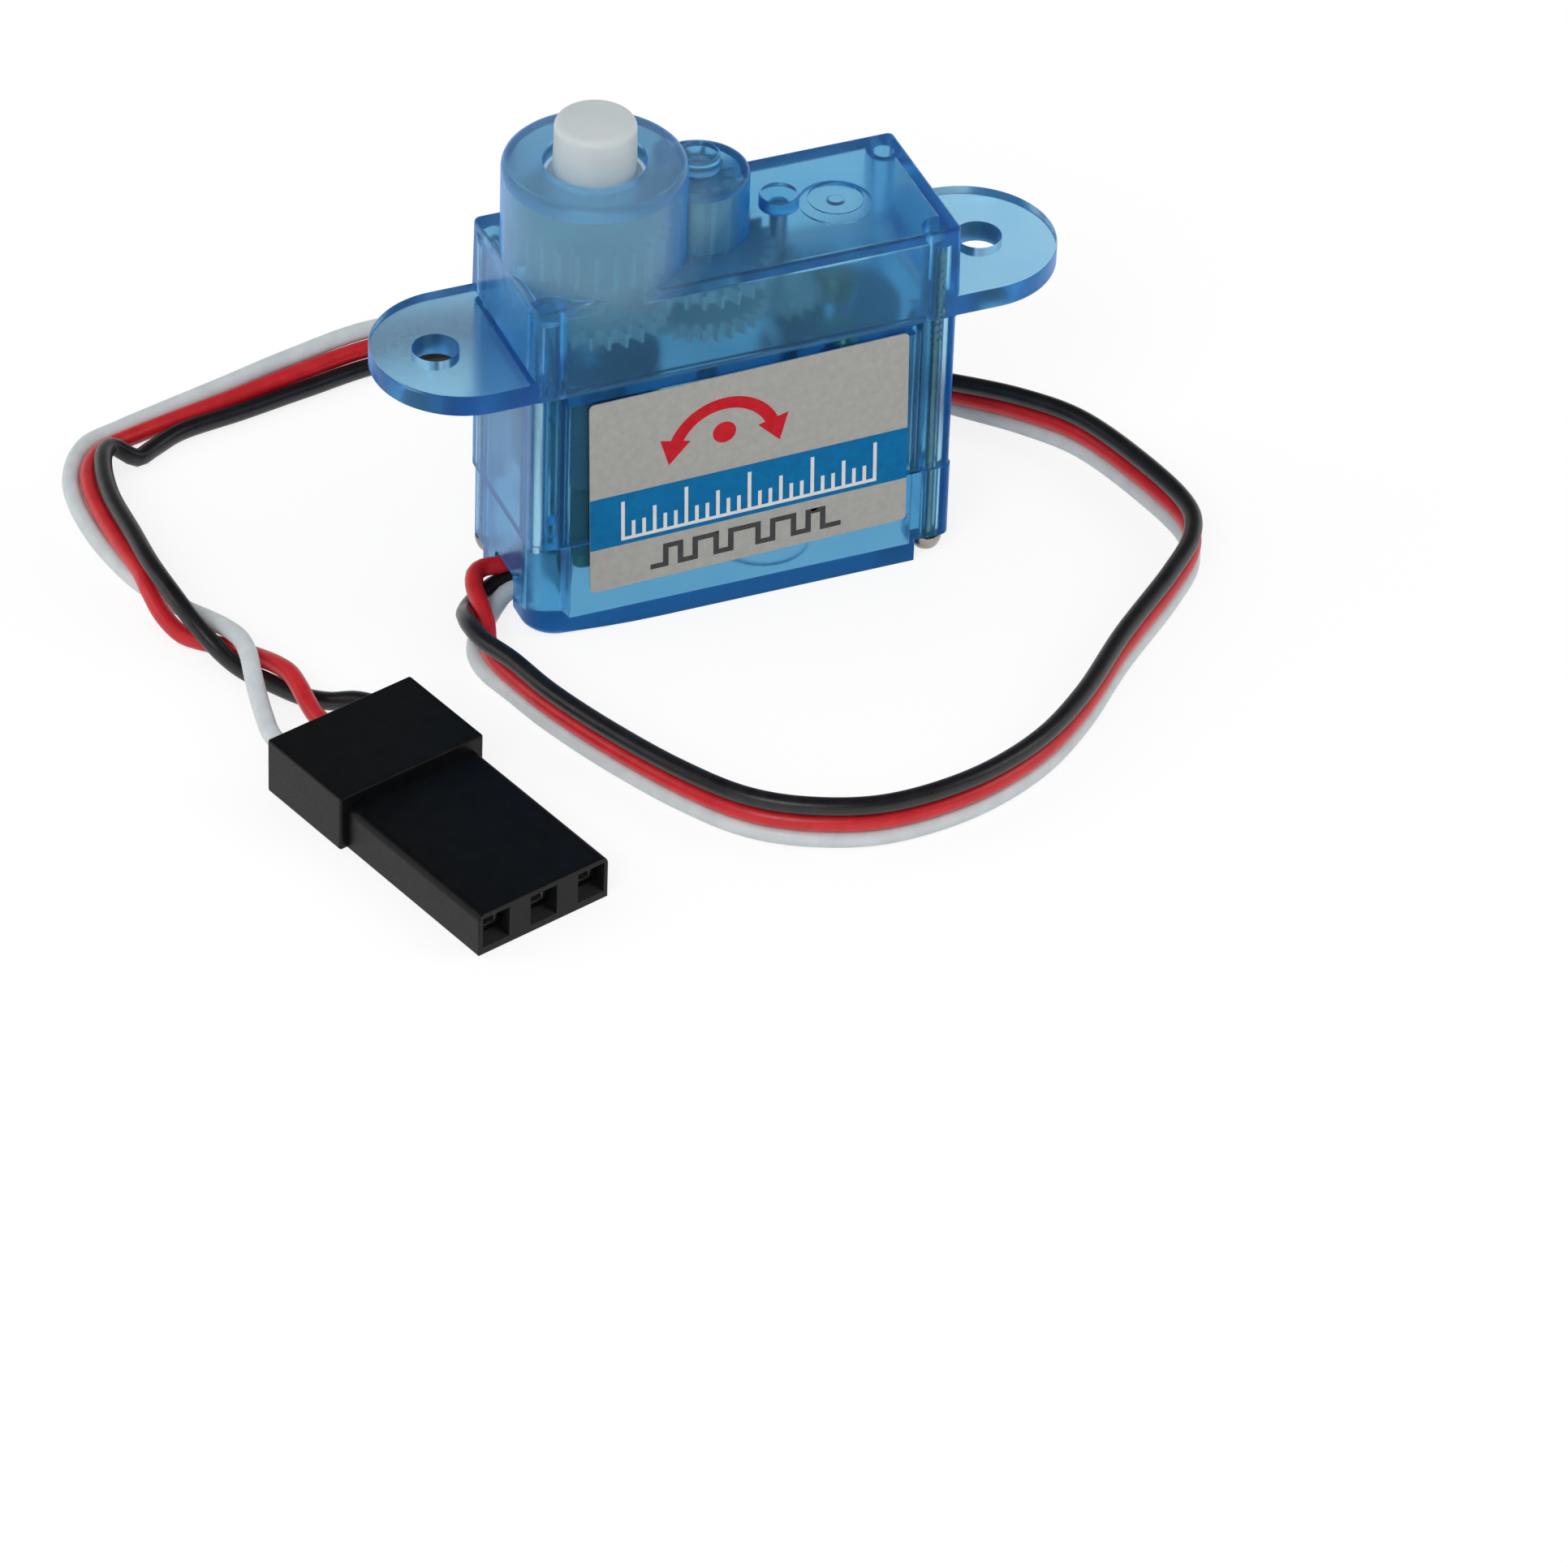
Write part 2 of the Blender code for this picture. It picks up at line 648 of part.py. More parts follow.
cover_holes = rods("cover_holes", [
    (screw_x, -screw_y, screw_radius + pin_fit, cover_bottom - 1, cover_bottom + screw_bite + 0.2),
    (-screw_x, screw_y, screw_radius + pin_fit, cover_bottom - 1, cover_bottom + screw_bite + 0.2),
    (idler_x, 0, idler_pin_radius + pin_fit, bump_ceiling - 0.3, idler_pin_top + end_play),
    (first_x, first_offset_y, first_pin_radius + pin_fit, roof_bottom - 0.3,
     first_pin_top + end_play)], sides=16)
shell_step(top_cover, cover_holes)
ear_holes = rods("ear_holes", [
    (-half_length - left_hole_reach, 0, ear_hole / 2, cover_bottom - 1, cover_bottom + 3),
    (half_length + right_hole_reach, 0, ear_hole / 2, cover_bottom - 1, cover_bottom + 3),
    (output_x, 0, journal_radius + journal_fit, boss_ceiling - 0.5, boss_top + 1)], sides=24)
shell_step(top_cover, ear_holes)
dimples = rods("dimples", [
    (motor_x, 0, dimple_radius, roof_top - dimple_depth, roof_top + 1),
    (motor_x, 0, pocket_radius, roof_bottom - 1, roof_bottom + pocket_depth)], sides=24)
shell_step(top_cover, dimples)

# Middle case: holds the motor and the potentiometer under a deck that carries the pins
case_half = case_width / 2
middle_case = plate("middle_case", rounded(-half_length, half_length, -case_half, case_half,
                                           [corner_round] * 4), case_bottom, case_top, clear_blue)
room_outline = cross_outline(2 * (half_length - wall), 2 * (case_half - wall),
                             block_length - wall, block_width - wall)
case_room = plate("case_room", room_outline, case_bottom - 1, deck_bottom)
shell_step(middle_case, case_room)
case_tray = plate("case_tray", room_outline, deck_top, case_top + 1)
shell_step(middle_case, case_tray)
case_holes = rods("case_holes", [
    (screw_x, -screw_y, screw_radius + screw_fit, case_bottom - 1, case_top + 1),
    (-screw_x, screw_y, screw_radius + screw_fit, case_bottom - 1, case_top + 1),
    (-locating_x, -locating_y, locating_radius + locating_fit, case_bottom - 1, case_top + 1),
    (locating_x, locating_y, locating_radius + locating_fit, case_bottom - 1, case_top + 1),
    (idler_x, 0, idler_pin_radius + pin_fit, deck_top - pin_depth - end_play, deck_top + 1),
    (first_x, first_offset_y, first_pin_radius + pin_fit, deck_top - pin_depth - end_play,
     deck_top + 1),
    (output_x, 0, stem_radius + 2 * running_fit, deck_bottom - 1, deck_top + 1),
    (motor_x, 0, motor_boss_radius + pin_fit, deck_bottom - 1, deck_top + 1)], sides=20)
shell_step(middle_case, case_holes)

# Bottom cover: floor, lead slot, screw recesses and two locating pegs
base_half = base_width / 2
base_left = base_shift - half_length
base_right = base_shift + half_length
bottom_cover = plate("bottom_cover", rounded(
    base_left, base_right, -base_half, base_half,
    [base_left_round, base_right_round, base_left_round, base_right_round]), 0, base_top, clear_blue)
bevel_edges(bottom_cover, base_end_round, 3, lambda at: at.z < 0.01
            and at.x < base_left + base_left_round + 0.01)
bevel_edges(bottom_cover, base_right_round / 2, 2, lambda at: at.z < 0.01
            and at.x > base_right - base_left_round - 0.01)
base_room = plate("base_room", cross_outline(2 * (half_length - wall), 2 * (base_half - wall),
                                             block_length - wall, block_width - wall),
                  floor, base_top + 1)
base_room.location.x = base_shift * mm
shell_step(bottom_cover, base_room)
base_pegs = rods("base_pegs", [(side * locating_x, side * locating_y, locating_radius,
                                base_top - 0.9, base_top + locating_length)
                               for side in (-1, 1)], sides=16)
shell_step(bottom_cover, base_pegs, "UNION")
recess_x = half_length - block_length + notch_wall
recess_y = base_half - block_width + notch_wall
screw_recess = box("screw_recess", [
    (recess_x, half_length + 1, -base_half - 1, -recess_y, -1, notch_height),
    (-half_length - 1, -recess_x, recess_y, base_half + 1, -1, notch_height)])
shell_step(bottom_cover, screw_recess)
base_holes = rods("base_holes", [
    (screw_x, -screw_y, screw_radius + screw_fit, -1, base_top + 1),
    (-screw_x, screw_y, screw_radius + screw_fit, -1, base_top + 1)], sides=20)
shell_step(bottom_cover, base_holes)
lead_slot = box("lead_slot", [(base_left - 1, base_left + lead_slot_depth,
                               lead_slot_y - lead_slot_width / 2,
                               lead_slot_y + lead_slot_width / 2, -1, lead_slot_height)])
shell_step(bottom_cover, lead_slot)

# Two long screws that hold the three case shells together
screw_tip = cover_bottom + screw_bite
head_seat = notch_height - joint_gap
head_low = head_seat - screw_head_height
for screw_name, side in (("case_screw_front", 1), ("case_screw_rear", -1)):
    turned(screw_name, [
        (0, screw_tip), (0.5 * screw_radius, screw_tip), (screw_radius, screw_tip - 0.5),
        (screw_radius, head_seat), (screw_head_radius, head_seat),
        (screw_head_radius, head_seat - 0.4 * screw_head_height),
        (0.75 * screw_head_radius, head_low + 0.15 * screw_head_height),
        (0.35 * screw_head_radius, head_low), (0, head_low)],
        steel, side * screw_x, -side * screw_y, 20)

# Label on the front of the middle case and the bottom cover
label_half = label_length / 2
label_rise = label_height / 2
front_label = plate("front_label", rounded(-label_half, label_half, -label_rise, label_rise,
                                           [0.25] * 4, 3), 0, label_thickness, label_film)
front_label.rotation_euler = (math.pi / 2, -label_turn, 0.0)
label_back = max(base_half, case_half) + pin_fit
front_label.location = (label_x * mm, -label_back * mm, label_z * mm)

# Gear train: motor pinion, first gear, second and fourth gear on the idler pin, third gear
# loose on the output stem, and the output gear
toward_first = math.atan2(first_offset_y, first_x - motor_x)
toward_idler = math.atan2(-first_offset_y, idler_x - first_x)
motor_pinion = plate("motor_pinion", gear_outline(motor_teeth, fine_module, toward_first),
                     first_wheel_z - stack_gap, first_wheel_z + wheel_face + stack_gap, brass,
                     motor_x, 0)
pinion_bore = rods("pinion_bore", [(0, 0, motor_shaft_radius + pin_fit, deck_bottom, roof_top)],
                   x=motor_x, sides=16)
combine(motor_pinion, pinion_bore)


def compound_gear(name, x, y, wheel, wheel_z, pinion, pinion_top, bore):
    gear = plate(name, wheel, wheel_z, wheel_z + wheel_face, white_nylon, x, y)
    small = plate(name + "_pinion", pinion, wheel_z + wheel_face / 2, pinion_top, None, x, y)
    combine(gear, small, "UNION")
    hole = rods(name + "_bore", [(0, 0, bore, wheel_z - 1, pinion_top + 1)], None, x, y, 20)
    combine(gear, hole)
    return gear


compound_gear("first_gear", first_x, first_offset_y,
              gap_outline(first_wheel_teeth, fine_module, toward_first + math.pi), first_wheel_z,
              gear_outline(first_pinion_teeth, fine_module, toward_idler), first_top,
              first_pin_radius + running_fit)
compound_gear("second_gear", idler_x, 0,
              gap_outline(second_wheel_teeth, fine_module, toward_idler + math.pi), second_wheel_z,
              gear_outline(second_pinion_teeth, coarse_module, math.pi), second_top,
              idler_pin_radius + running_fit)
compound_gear("third_gear", output_x, 0,
              gap_outline(third_wheel_teeth, coarse_module, 0), third_wheel_z,
              gear_outline(third_pinion_teeth, coarse_module, 0), third_top,
              stem_radius + running_fit)
compound_gear("fourth_gear", idler_x, 0,
              gap_outline(fourth_wheel_teeth, coarse_module, math.pi), fourth_wheel_z,
              gear_outline(fourth_pinion_teeth, coarse_module, math.pi), fourth_top,
              idler_pin_radius + running_fit)

output_gear = plate("output_gear", gap_outline(output_teeth, coarse_module, 0), output_wheel_z,
                    output_wheel_top, white_nylon, output_x, 0)
journal_top = boss_top - stack_gap
output_shaft = turned("output_shaft", [
    (0, shaft_top), (shaft_radius - shaft_round, shaft_top),
    (shaft_radius - 0.3 * shaft_round, shaft_top - 0.3 * shaft_round),
    (shaft_radius, shaft_top - shaft_round), (shaft_radius, journal_top),
    (journal_radius, journal_top), (journal_radius, output_wheel_z + 0.3),
    (stem_radius, output_wheel_z + 0.3), (stem_radius, stem_bottom),
    (pot_shaft_radius + running_fit, stem_bottom),
    (pot_shaft_radius + running_fit, stem_bore_top), (0, stem_bore_top)], None, output_x, 0, 28)
combine(output_gear, output_shaft, "UNION")

pin_bottom = deck_top - pin_depth
rods("first_gear_pin", [(0, 0, first_pin_radius, pin_bottom, first_pin_top)], steel,
     first_x, first_offset_y, 16)
rods("idler_pin", [(0, 0, idler_pin_radius, pin_bottom, idler_pin_top)], steel, idler_x, 0, 16)

# Motor: can, end cap, magnet ring and the rotor on its shaft
can_top = deck_bottom - joint_gap
can_inside = motor_radius - motor_wall
shaft_hole = motor_shaft_radius + running_fit
turned("motor_can", [
    (motor_boss_radius, can_top + motor_boss_height), (motor_boss_radius, can_top),
    (motor_radius - 0.2, can_top), (motor_radius, can_top - 0.2), (motor_radius, motor_bottom),
    (can_inside, motor_bottom), (can_inside, can_top - motor_wall),
    (shaft_hole, can_top - motor_wall), (shaft_hole, can_top + motor_boss_height)],
    steel, motor_x, 0, 28)
cap_side = can_inside - locating_fit
end_cap_top = motor_bottom + end_cap_height
turned("motor_end_cap", [
    (cap_side, end_cap_top), (cap_side, motor_bottom), (shaft_hole, motor_bottom),
    (shaft_hole, end_cap_top)], grey_plastic, motor_x, 0, 24)
magnet_low = end_cap_top + 1.0
magnet_high = can_top - motor_wall - 0.3
magnet_side = can_inside - locating_fit
armature_radius = magnet_side - magnet_wall - air_gap
turned("motor_magnet", [
    (magnet_side, magnet_high), (magnet_side, magnet_low),
    (magnet_side - magnet_wall, magnet_low), (magnet_side - magnet_wall, magnet_high)],
    ferrite, motor_x, 0, 24)
rotor_hole = motor_shaft_radius + pin_fit
commutator_low = end_cap_top + 0.15
commutator_top = commutator_low + commutator_height
turned("motor_commutator", [
    (commutator_radius, commutator_top), (commutator_radius, commutator_low),
    (rotor_hole, commutator_low), (rotor_hole, commutator_top)], copper, motor_x, 0, 20)
turned("motor_armature", [
    (armature_radius, magnet_high - 0.2), (armature_radius, magnet_low + 0.2),
    (rotor_hole, magnet_low + 0.2), (rotor_hole, magnet_high - 0.2)], copper, motor_x, 0, 28)
rods("motor_shaft", [(0, 0, motor_shaft_radius, motor_bottom + 0.1,
                      first_wheel_z + wheel_face + 2 * stack_gap)], steel, motor_x, 0, 16)

# Feedback potentiometer under the output gear
pot_top = deck_bottom - joint_gap - pot_cover - joint_gap
pot_bottom = pot_top - pot_height
pot_base_top = pot_bottom + pot_base
pivot = pot_shaft_radius - 0.1
turned("pot_body", [
    (0, pot_base_top - 0.8), (pivot + running_fit, pot_base_top - 0.8),
    (pivot + running_fit, pot_base_top), (pot_radius - pot_wall, pot_base_top),
    (pot_radius - pot_wall, pot_top), (pot_radius, pot_top), (pot_radius, pot_bottom),
    (0, pot_bottom)], grey_plastic, output_x, 0, 24)
pot_cover_low = deck_bottom - joint_gap - pot_cover
turned("pot_cover", [
    (pot_radius, pot_cover_low + pot_cover), (pot_radius, pot_cover_low),
    (pot_shaft_radius + 2 * running_fit, pot_cover_low),
    (pot_shaft_radius + 2 * running_fit, pot_cover_low + pot_cover)], tinned, output_x, 0, 24)
wiper_low = pot_base_top + 0.15
turned("pot_wiper", [
    (0, stem_bore_top - stack_gap), (pot_shaft_radius, stem_bore_top - stack_gap),
    (pot_shaft_radius, pot_top - 0.3), (2 * pot_shaft_radius, pot_top - 0.3),
    (2 * pot_shaft_radius, wiper_low + 0.6), (wiper_radius, wiper_low + 0.6),
    (wiper_radius, wiper_low), (pivot, wiper_low), (pivot, pot_base_top - 0.7),
    (0, pot_base_top - 0.7)], white_nylon, output_x, 0, 20)

# Circuit board with the leads of the motor and the potentiometer soldered through it
board_top = board_bottom + board_thickness
board_half = board_length / 2
circuit_board = plate("circuit_board", rounded(-board_half, board_half, -board_width / 2,
                                               board_width / 2, [0.4] * 4, 3),
                      board_bottom, board_top, board_green)
motor_leads = [(motor_x, way * 0.65 * motor_radius) for way in (-1, 1)]
pot_leads = [(output_x + place_x, 0.6 * pot_radius) for place_x in (-1.3, 0.0, 1.3)]
hole_x = lead_width / 2 + lead_fit
hole_y = lead_thickness / 2 + lead_fit
lead_holes = box("lead_holes", [(at_x - hole_x, at_x + hole_x, at_y - hole_y, at_y + hole_y,
                                 board_bottom - 1, board_top + 1)
                                for at_x, at_y in motor_leads + pot_leads])
combine(circuit_board, lead_holes)
lead_names = ["motor_lead_front", "motor_lead_rear", "pot_lead_left", "pot_lead_middle",
              "pot_lead_right"]
lead_tops = [motor_bottom - joint_gap] * 2 + [pot_bottom - joint_gap] * 3
for lead_name, (at_x, at_y), lead_top in zip(lead_names, motor_leads + pot_leads, lead_tops):
    box(lead_name, [(at_x - lead_width / 2, at_x + lead_width / 2, at_y - lead_thickness / 2,
                     at_y + lead_thickness / 2, board_bottom - lead_tail, lead_top)], tinned)
chip_top = board_bottom - joint_gap
half_long = control_chip_length / 2
half_wide = control_chip_width / 2
box("control_chip", [(-half_long, half_long, -half_wide, half_wide,
                      chip_top - control_chip_height, chip_top)], black_plastic)
# The driver chip and the capacitor share the gap between the potentiometer and the motor
gap_middle = (output_x + pot_radius + motor_x - motor_radius) / 2
parts_low = board_top + joint_gap
half_long = driver_chip_length / 2
driver_front = board_width / 2 - board_part_gap - driver_chip_width
box("driver_chip", [(gap_middle - half_long, gap_middle + half_long, driver_front,
                     driver_front + driver_chip_width, parts_low,
                     parts_low + driver_chip_height)], black_plastic)
capacitor_y = board_part_gap + capacitor_radius - board_width / 2
rods("capacitor", [(gap_middle, capacitor_y, capacitor_radius, parts_low,
                    parts_low + capacitor_height)], black_plastic)

# Plug: housing with three sockets, and a contact in each
plug_front = plug_rear_length + plug_front_length
rear_half = plug_rear_width / 2
front_half = plug_front_width / 2
plug_housing = box("plug_housing", [(-rear_half, rear_half, -plug_rear_length, 0, 0,
                                     plug_rear_height)], black_plastic)
plug_nose = box("plug_nose", [(-front_half, front_half, -plug_front, 0.1 - plug_rear_length,
                               0.0, plug_front_height)])
bevel_edges(plug_nose, plug_round, 3, lambda at: at.z > plug_front_height - 0.01
            and abs(at.x) > front_half - 0.01)
combine(plug_housing, plug_nose, "UNION")
low = pin_height - socket_height / 2
sockets = box("sockets", [(slot * pin_pitch - socket_width / 2, slot * pin_pitch + socket_width / 2,
                           socket_lip - plug_front, 1, low, low + socket_height)
                          for slot in (-1, 0, 1)])
mouths = box("mouths", [(slot * pin_pitch - socket_mouth / 2, slot * pin_pitch + socket_mouth / 2,
                         -plug_front - 1, 1 - plug_front, pin_height - socket_mouth / 2,
                         pin_height + socket_mouth / 2) for slot in (-1, 0, 1)])
combine(plug_housing, sockets)
combine(plug_housing, mouths)
plug_pieces = [plug_housing, plug_nose, sockets, mouths]
for number, slot in ((1, -1), (2, 0), (3, 1)):
    middle = slot * pin_pitch
    half_wide = socket_width / 2 - contact_fit
    half_high = socket_height / 2 - contact_fit
    contact = box("plug_contact_" + str(number), [
        (middle - half_wide, middle + half_wide, socket_lip + contact_fit - plug_front,
         -contact_start, pin_height - half_high, pin_height + half_high)], tinned)
    bore = box("contact_bore_" + str(number), [
        (middle - contact_bore / 2, middle + contact_bore / 2, -plug_front - 1,
         1 - contact_start, pin_height - contact_bore / 2, pin_height + contact_bore / 2)])
    combine(contact, bore)
    plug_pieces += [contact, bore]
for piece in plug_pieces:
    piece.location = (plug_x * mm, plug_y * mm, 0.0)
    piece.rotation_euler.z = plug_turn

# The three wires of the lead
wire("wire_black", black_start, ribbon_pitch, black_end, 1, black_insulation)
wire("wire_red", red_start, 0.0, red_end, 0, red_insulation)
wire("wire_white", white_start, -ribbon_pitch, white_end, -1, white_insulation)
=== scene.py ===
import math

import bmesh
import bpy
from mathutils import Matrix, Vector


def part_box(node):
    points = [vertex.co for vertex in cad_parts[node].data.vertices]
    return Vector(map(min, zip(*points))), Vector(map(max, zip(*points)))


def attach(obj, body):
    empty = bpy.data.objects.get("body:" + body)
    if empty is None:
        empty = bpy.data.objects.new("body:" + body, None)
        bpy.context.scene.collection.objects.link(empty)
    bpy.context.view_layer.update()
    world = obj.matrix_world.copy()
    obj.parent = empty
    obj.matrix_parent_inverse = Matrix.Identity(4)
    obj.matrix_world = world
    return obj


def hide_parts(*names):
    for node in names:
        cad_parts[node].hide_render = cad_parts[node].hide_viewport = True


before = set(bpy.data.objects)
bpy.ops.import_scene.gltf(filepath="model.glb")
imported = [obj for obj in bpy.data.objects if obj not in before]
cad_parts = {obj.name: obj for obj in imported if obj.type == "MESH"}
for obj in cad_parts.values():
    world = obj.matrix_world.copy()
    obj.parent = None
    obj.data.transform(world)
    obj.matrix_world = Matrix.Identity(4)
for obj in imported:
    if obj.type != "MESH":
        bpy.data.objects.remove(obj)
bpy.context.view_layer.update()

print("frame loaded,", len(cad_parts), "nodes")

# Pieces are modelled in millimetres and handed over in metres
mm = 0.001


def putAside():
    bpy.ops.object.select_all(action="DESELECT")


def takeUp(piece):
    putAside()
    piece.select_set(True)
    bpy.context.view_layer.objects.active = piece


def settle(piece):
    takeUp(piece)
    bpy.ops.object.transform_apply(location=True, rotation=True, scale=True)
    return piece


def block(name, low, high):
    putAside()
    middle = [(a + b) / 2 for a, b in zip(low, high)]
    bpy.ops.mesh.primitive_cube_add(size=1, location=middle)
    piece = bpy.context.active_object
    piece.name = name
    piece.scale = [b - a for a, b in zip(low, high)]
    return settle(piece)


def rod(name, x, y, low, high, radius, sides=48):
    putAside()
    bpy.ops.mesh.primitive_cylinder_add(vertices=sides, radius=radius, depth=high - low,
                                        location=(x, y, (low + high) / 2))
    piece = bpy.context.active_object
    piece.name = name
    return settle(piece)


def pickEdges(piece, wanted):
    # wanted gets an edge's two ends and the angle between its faces, in degrees
    takeUp(piece)
    bpy.ops.object.mode_set(mode="EDIT")
    bpy.ops.mesh.select_mode(type="EDGE")
    bpy.ops.mesh.select_all(action="DESELECT")
    mesh = bmesh.from_edit_mesh(piece.data)
    for edge in mesh.edges:
        a, b = edge.verts[0].co, edge.verts[1].co
        if wanted(a, b, math.degrees(edge.calc_face_angle(0))):
            edge.select_set(True)
    bmesh.update_edit_mesh(piece.data)


def pickFaces(piece, wanted):
    # wanted gets a face's middle and its normal
    takeUp(piece)
    bpy.ops.object.mode_set(mode="EDIT")
    bpy.ops.mesh.select_mode(type="FACE")
    bpy.ops.mesh.select_all(action="DESELECT")
    mesh = bmesh.from_edit_mesh(piece.data)
    for face in mesh.faces:
        if wanted(face.calc_center_median(), face.normal):
            face.select_set(True)
    bmesh.update_edit_mesh(piece.data)


def leaveEdit():
    bpy.ops.object.mode_set(mode="OBJECT")


def roundOff(piece, width, steps, wanted):
    pickEdges(piece, wanted)
    bpy.ops.mesh.bevel(offset=width, segments=steps, profile=0.5, affect="EDGES", clamp_overlap=True)
    leaveEdit()
    return piece


def upright(a, b):
    return abs(a.x - b.x) < 0.01 and abs(a.y - b.y) < 0.01


def fit(piece, tool, how):
    takeUp(piece)
    step = piece.modifiers.new("fit", "BOOLEAN")
    step.operation = how
    step.object = tool
    step.solver = "MANIFOLD"
    bpy.ops.object.modifier_apply(modifier=step.name)
    bpy.data.objects.remove(tool, do_unlink=True)
    return piece


def joinOn(piece, *tools):
    for tool in tools:
        fit(piece, tool, "UNION")
    return piece


def cutAway(piece, *tools):
    for tool in tools:
        fit(piece, tool, "DIFFERENCE")
    return piece


def softCorners(corners, steps=5):
    # corners are radius, height and the round at that corner
    line = []
    last = len(corners) - 1
    for index, (r, z, soft) in enumerate(corners):
        here = Vector((r, z))
        if soft <= 0 or index in (0, last):
            line.append(here)
            continue
        back = (Vector(corners[index - 1][:2]) - here).normalized() * soft
        ahead = (Vector(corners[index + 1][:2]) - here).normalized() * soft
        for step in range(steps + 1):
            t = step / steps
            line.append(here + back * (1 - t) ** 2 + ahead * t ** 2)
    return line


def turnUp(name, corners, x=0.0, y=0.0, steps=72):
    # a lathe: a chain of points spun round the upright axis
    line = softCorners(corners)
    putAside()
    bpy.ops.mesh.primitive_plane_add(size=1, location=(0, 0, 0))
    piece = bpy.context.active_object
    piece.name = name
    bpy.ops.object.mode_set(mode="EDIT")
    bpy.ops.mesh.select_mode(type="VERT")
    bpy.ops.mesh.select_all(action="SELECT")
    bpy.ops.mesh.merge(type="CENTER")
    bpy.ops.transform.translate(value=(line[0].x, 0, line[0].y))
    for here, there in zip(line, line[1:]):
        step = (there.x - here.x, 0, there.y - here.y)
        bpy.ops.mesh.extrude_vertices_move(TRANSFORM_OT_translate={"value": step})
    bpy.ops.mesh.select_all(action="SELECT")
    bpy.ops.mesh.spin(steps=steps, angle=math.tau, center=(0, 0, 0), axis=(0, 0, 1))
    bpy.ops.mesh.select_all(action="SELECT")
    bpy.ops.mesh.remove_doubles(threshold=0.0005)
    bpy.ops.mesh.normals_make_consistent(inside=False)
    leaveEdit()
    piece.location = (x, y, 0)
    return settle(piece)


def copyOf(piece, x=0.0, y=0.0, turn=0.0):
    # a copy with its own mesh, turned about the upright axis and moved
    twin = piece.copy()
    twin.data = piece.data.copy()
    bpy.context.scene.collection.objects.link(twin)
    twin.rotation_euler = (0, 0, math.radians(turn))
    twin.location = (x, y, 0)
    return settle(twin)


def gather(first, others):
    takeUp(first)
    for other in others:
        other.select_set(True)
    bpy.ops.object.join()
    return first


def nodeBox(name):
    low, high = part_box(name)
    return [value / mm for value in low], [value / mm for value in high]


def handOver(piece, name, body, finish=None, nodes=(), angle=35):
    takeUp(piece)
    piece.name = name
    piece.data.name = name
    bpy.ops.object.shade_smooth_by_angle(angle=math.radians(angle))
    even = piece.modifiers.new("evenShade", "WEIGHTED_NORMAL")
    even.keep_sharp = True
    bpy.ops.object.modifier_apply(modifier=even.name)
    piece.scale = (mm, mm, mm)
    settle(piece)
    if finish:
        piece.data.materials.clear()
        piece.data.materials.append(finish)
    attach(piece, body)
    if nodes:
        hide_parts(*nodes)
    return piece


# Camera
viewpoint = {
    "place": (-0.13294412737, -0.31540524006, 0.25239960634),
    "turn": (52.18213934, -1.68051812, -22.18714312),
    "lens": 217.6345334,
    "sensor": 36.0,
}
bpy.ops.object.camera_add(location=viewpoint["place"],
                          rotation=[math.radians(turn) for turn in viewpoint["turn"]])
camera = bpy.context.active_object
camera.data.lens = viewpoint["lens"]
camera.data.sensor_width = viewpoint["sensor"]
camera.data.clip_start = 0.01
camera.data.clip_end = 20
bpy.context.scene.camera = camera
bpy.context.scene.view_settings.view_transform = "Standard"


# Floor, world and lamps
studio = {
    "floorSize": 3.0,
    "floorGlow": 0.75,
    "floorGlowThrough": 0.55,
    "floorWhite": 1.09,
    "roomLight": 0.55,
    "overheadGloss": 0.04,
    "overheadThrough": 0.8,
    "lamps": [
        ("keyLamp", (-0.36, -0.38, 0.46), 0.32, 1.3),
        ("sideLamp", (0.46, -0.20, 0.36), 0.30, 0.5),
        ("backLamp", (-0.58, 0.22, 0.34), 0.36, 0.5),
    ],
}


def addNode(tree, kind, **values):
    node = tree.nodes.new("ShaderNode" + kind)
    for key, value in values.items():
        if hasattr(node, key):
            setattr(node, key, value)
        else:
            node.inputs[key.replace("_", " ")].default_value = value
    return node


def showsBackdrop(tree):
    # one for camera, glossy and transmission rays, else nought
    ray = addNode(tree, "LightPath")
    first = addNode(tree, "Math", operation="MAXIMUM")
    second = addNode(tree, "Math", operation="MAXIMUM")
    tree.links.new(ray.outputs["Is Camera Ray"], first.inputs[0])
    tree.links.new(ray.outputs["Is Glossy Ray"], first.inputs[1])
    tree.links.new(first.outputs[0], second.inputs[0])
    tree.links.new(ray.outputs["Is Transmission Ray"], second.inputs[1])
    return ray, second


